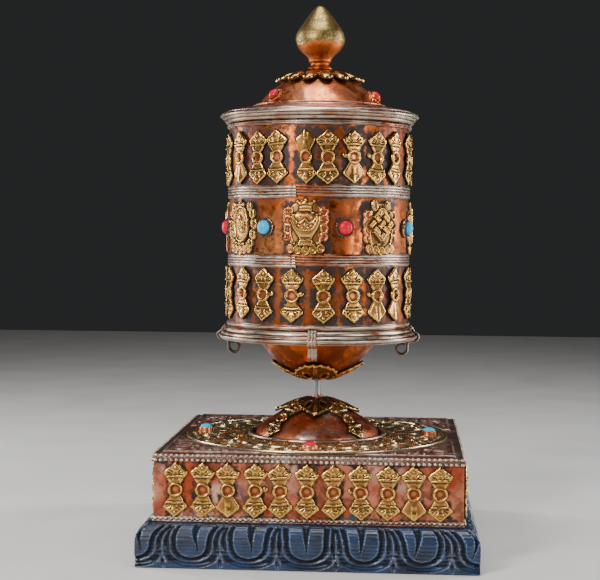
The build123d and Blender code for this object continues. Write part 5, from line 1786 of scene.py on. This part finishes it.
def filigree(u, v, plate):
    """Scroll work inside the wire border, drawn for an eighth of a turn and mirrored."""
    design = Drawing(u, v, plate)
    radius = np.hypot(u, v)
    eighth = np.abs((np.degrees(np.arctan2(v, u)) % 90) - 45)
    x, y = radius * np.cos(np.radians(eighth)), radius * np.sin(np.radians(eighth))

    def at(r, degrees_off):
        return r * cos(radians(degrees_off)), r * sin(radians(degrees_off))

    def mark(distance, width, height):
        design.face = np.maximum(design.face, plate + ridge(distance, width, height))

    for centre, size, start, stop in (
        (at(61.5, 11.5), 6.6, 200, 560), (at(46.5, 11.0), 4.6, 160, -200), (at(62.5, 27.0), 6.0, 20, -300),
        (at(47.5, 28.0), 5.4, -60, 280),
    ):
        mark(to_line(x, y, arc(*centre, size, start, stop, 40, size * 0.3)), 1.25, 1.2)
        mark(np.hypot(x - centre[0], y - centre[1]), 1.9, 1.7)
    for centre, length, wide, tilt in (
        (at(54.0, 18.5), 6.2, 3.1, 70), (at(54.5, 4.6), 6.0, 3.2, 10), (at(66.0, 19.0), 4.4, 2.4, 110),
        (at(42.0, 19.5), 3.6, 2.1, 20), (at(55.0, 33.0), 5.6, 2.9, 120), (at(67.0, 34.5), 4.2, 2.3, 40),
        (at(67.4, 4.0), 4.4, 2.4, 60), (at(42.0, 34.5), 3.6, 2.2, 150), (at(51.4, 42.0), 5.0, 2.6, 45),
    ):
        leaf = to_oval(x, y, *centre, length, wide, tilt)
        rise = np.where(leaf < 0, swell(leaf, 2.1, 1.5), 0)
        vein = np.where(leaf < 0, ridge((x - centre[0]) * sin(radians(tilt)) - (y - centre[1])
                                        * cos(radians(tilt)), 0.4, 0.3), 0)
        design.face = np.maximum(design.face, plate + rise + vein)
    mark(radius - DOME_WIRE - 2.7, 0.8, 0.9)
    mark(radius - RING + 2.2, 0.8, 0.9)
    for angle in (6, 16, 27, 38):
        mark(to_line(x, y, spline([at(RING - 2.2, angle), at(62, angle + 3), at(54, angle - 2),
                                   at(44, angle + 2)], 6)), 0.5, 0.6)
    # An open eyelet on each of the plate's diagonals. The four stones stand on the axes between them.
    eyelet = np.hypot(x - STONE_REACH * cos(radians(45)), y - STONE_REACH * sin(radians(45)))
    mark(eyelet - 6.0, 0.9, 1.0)
    design.edge = np.maximum(radius - RING + 0.6, DOME_WIRE + 0.9 - radius)
    design.edge = np.maximum(design.edge, 3.4 - eyelet)
    return design


scroll_sheet = pressed(lambda u, v, plate: filigree(u * cos(pi / 4) + v * sin(pi / 4), v * cos(pi / 4) - u
                                                    * sin(pi / 4), plate), RING, RING, 0.52, plate=0.12,
                       base=-0.1, scale=0.7, floor=False)
scroll_sheet["v"][:, 2] += PLATE_TOP
piece("scroll_work", scroll_sheet, "stand", PLATE_BRASS, "brass", "filigree_scrolls")


CORNER_MIDDLE = 47.0


def spandrel(u, v, plate):
    """A corner leaf inside a raised border that follows the wire ring."""
    design = Drawing(u, v, plate)
    x, y = u + CORNER_MIDDLE, v + CORNER_MIDDLE
    radius = np.hypot(x, y)
    field = np.maximum(np.maximum(x, y) - 75.0, 75.4 - radius)
    field = np.maximum(field, 24.0 - np.minimum(x, y))
    design.shape(field, 0.25, 1.5)
    design.emboss(field < 0, field + 0.9, 0.75, 0.6)
    along, across = (x + y) / sqrt(2) - 75.4, np.abs(x - y) / sqrt(2)
    inside = field < -1.8
    marks = np.zeros(u.shape)
    for centre, length, wide, tilt in (((17.5, 0), 5.0, 2.6, 0), ((13.6, 5.2), 4.4, 2.1, 48),
                                       ((8.6, 9.6), 4.6, 2.0, 70), ((7.4, 4.2), 3.4, 1.7, 60),
                                       ((5.2, 15.5), 4.4, 1.7, 82), ((1.6, 22.0), 3.8, 1.3, 84)):
        leaf = to_oval(along, across, *centre, length, wide, tilt)
        marks = np.maximum(marks, np.where(leaf < 0, swell(leaf, 1.4, 0.95), 0))
    marks = np.maximum(marks, ridge(np.hypot(along - 11.0, across), 2.0, 1.1))
    for a, b, size in ((10.4, 8.4, 2.4), (4.4, 11.4, 2.2), (3.4, 18.6, 1.8)):
        marks = np.maximum(marks, ridge(to_line(along, across, arc(a, b, size, 0, 330, 20, size * 0.3)),
                                        0.5, 0.7))
    design.face += np.where(inside, marks, 0)
    return design


corner = pressed(spandrel, 29.5, 29.5, 0.42, plate=0.35, base=-0.05, scale=0.55)
corner["v"] = corner["v"] + np.array([CORNER_MIDDLE, CORNER_MIDDLE, PLATE_TOP])
piece("corner_leaves", join([spun(corner, azimuth) for azimuth in (0, 90, 180, 270)]), "stand",
      PLATE_COPPER, "copper", "corner_spandrels")


def wire_ring(radius, height, thick, seed):
    """A wire bent into a slightly uneven ring round the spindle."""
    turn = np.linspace(0, 2 * pi, 260, endpoint=False)
    path = ring_points(radius, turn, height)
    shake = noise(path, 9, seed)
    path[:, 0] += 0.15 * shake * np.sin(turn)
    path[:, 1] -= 0.15 * shake * np.cos(turn)
    return tube(path, thick, 12, closed=True)


piece("border_wire", wire_ring(RING, PLATE_TOP + 0.6, 1.0, 101), "stand", PLATE_BRASS, "silvered",
      "filigree_ring")
piece("dome_wire", wire_ring(DOME_WIRE, PLATE_TOP + 1.1, 1.1, 102), "stand", BEAD_SILVER, "silvered",
      "dome_ring")

stand_side = [tuple(p) for p in spline([(34.4, 57.0), (33.5, 60.0), (31.0, 63.0), (25.5, 67.0), (16.0, 72.8),
                                        (9.0, 75.7), (2.0, 77.4)], 8)]
stand_under = [(r - 0.7 * min(1, r / 12), z - 0.6 * (1 - r / 60)) for r, z in stand_side[::-1]]
dome_foot = [(36.6, 57.05), (36.6, 57.5), (35.0, 57.6)]
dome_section = dome_foot + stand_side[1:] + stand_under[:-1] + [(33.6, 57.05), (36.6, 57.05)]
piece("stand_dome_sheet", lathe(dome_section, 200, dent=0.16, dent_size=11, seed=105, step=0.5, closed=True),
      "stand", DOME_COPPER, "copper", "stand_dome")
stand_plan = [(0.0, 77.5)] + stand_side[::-1]
crown = scaled(leaf_crown(True, 9.0, 3.3), 0.87, 0.87, 0.85)
crown["v"][:, 2] += 0.25
piece("crown_leaves", on_cap(crown, stand_plan, 0.8, 22.6), "stand", DARK_BRASS, "brass", "dome_crown")


def over_dome(part, azimuth, start):
    """Bend a plaque down the side of the stand's dome, its middle start mm down from the top."""
    line = np.array(stand_plan)
    run = run_along(line)
    x, y, w = part["v"].T
    s = start - y
    r, z = np.interp(s, run, line[:, 0]), np.interp(s, run, line[:, 1])
    over = s - run[-1]
    z = np.where(over > 0, z - over, z)
    dr, dz = np.gradient(line[:, 0], run), np.gradient(line[:, 1], run)
    nr, nz = -np.interp(s, run, dz), np.interp(s, run, dr)
    r, z = r + nr * w, z + nz * w
    angle = radians(azimuth) + x / np.maximum(np.interp(s, run, line[:, 0]), 9.0)
    moved = dict(part)
    moved["v"] = ring_points(r, angle, z)
    return moved


dome_plaques = [over_dome(turned(DORJES[kind], tilt, 0, 0.95, 0.15), azimuth, 27.2)
         for kind, azimuth, tilt in ((0, 45, 2), (3, -45, -2), (0, 135, 1), (5, -135, -1))]
piece("dome_plaques", join(dome_plaques), "stand", DARK_BRASS, "brass", "dome_dorjes")

plate_stone = stone(3.35, 3.2, 5.0)
plate_stone["v"][:, 2] += 0.3


def stood_up(part, places):
    """Copies standing on the top plate."""
    return join([on_plane(part, (x, y, PLATE_TOP), (1, 0, 0), (0, 1, 0), (0, 0, 1)) for x, y in places])


FRONT_BACK = ((0, -STONE_REACH), (0, STONE_REACH))
LEFT_RIGHT = ((-STONE_REACH, 0), (STONE_REACH, 0))
piece("plate_coral_stones", stood_up(plate_stone, FRONT_BACK), "stand", CORAL, "coral", "plate_corals")
piece("plate_turquoise_stones", stood_up(plate_stone, LEFT_RIGHT), "stand", TURQUOISE, "turquoise",
      "plate_turquoises")
piece("plate_settings", stood_up(collar(3.35, 3.5, 5.2, 0.35, 16, -0.1), FRONT_BACK + LEFT_RIGHT), "stand",
      LID_COPPER, "bezel_metal", "plate_bezels")

# Pieces that keep their CAD shape.
KEPT = {"spindle": STEEL, "spindle_nut": STEEL, "spindle_washer": STEEL, "plinth_screws": STEEL,
        "finial_nut": STEEL, "spindle_collar": DOME_COPPER, "bottom_bush": BRASS, "pivot_cup": BRASS,
        "base_core": PLAIN_WOOD, "core_tube": PLAIN_WOOD, "mantra_roll": PAPER, "silk_wrap": SILK}
for name, look in KEPT.items():
    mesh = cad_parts[name].data
    mesh.materials.clear()
    mesh.materials.append(look)


# ---------------------------------------------------------------- floor, light and camera

def stage():
    """A plain square floor that runs well past the picture."""
    size = 1.6
    mesh = bpy.data.meshes.new("floor")
    mesh.from_pydata([(-size, -size, 0), (size, -size, 0), (size, size, 0), (-size, size, 0)], [],
                     [(0, 1, 2, 3)])
    mesh.materials.append(floor_look("floor_paint"))
    floor = bpy.data.objects.new("floor", mesh)
    bpy.context.scene.collection.objects.link(floor)


def softbox(name, place, aim, width, height, power, colour):
    """A rectangular light at a place, turned towards aim."""
    light = bpy.data.lights.new(name, "AREA")
    light.shape = "RECTANGLE"
    light.size = width
    light.size_y = height
    light.energy = power
    light.color = colour
    holder = bpy.data.objects.new(name, light)
    holder.location = place
    holder.rotation_euler = (Vector(aim) - Vector(place)).to_track_quat("-Z", "Y").to_euler()
    bpy.context.scene.collection.objects.link(holder)


stage()
WHEEL_MIDDLE = (0, 0, 0.14)
for name, place, width, height, power, colour in (
    ("key", (-0.50, -0.80, 0.55), 0.22, 0.50, 9.5, (1, 0.98, 0.95)),
    ("fill", (0.80, -0.62, 0.30), 0.16, 0.55, 4.0, (0.97, 0.98, 1)),
    ("rim_left", (-0.75, 0.25, 0.30), 0.12, 0.6, 4.5, (1, 1, 1)),
    ("rim_right", (0.75, 0.25, 0.30), 0.12, 0.6, 5, (1, 1, 1)),
    ("top", (0.0, -0.05, 0.95), 0.4, 0.4, 5, (1, 1, 1)),
):
    softbox(name, place, WHEEL_MIDDLE, width, height, power, colour)
world = bpy.data.worlds.new("studio")
world.use_nodes = True
background = world.node_tree.nodes["Background"]
background.inputs["Color"].default_value = (0.75, 0.77, 0.80, 1)
background.inputs["Strength"].default_value = 0.03
bpy.context.scene.world = world

camera = bpy.data.cameras.new("camera")
camera.sensor_width = 36.0
camera.lens = 86.74
eye = bpy.data.objects.new("camera", camera)
eye.location = (0.047, -0.806, 0.171)
yaw, pitch, roll = radians(4.06), radians(2.33), radians(0.45)
ahead = Vector((-sin(yaw) * cos(pitch), cos(yaw) * cos(pitch), -sin(pitch)))
eye.rotation_euler = (ahead.to_track_quat("-Z", "Y") @ Quaternion((0, 0, 1), roll)).to_euler()
bpy.context.scene.collection.objects.link(eye)
bpy.context.scene.camera = eye
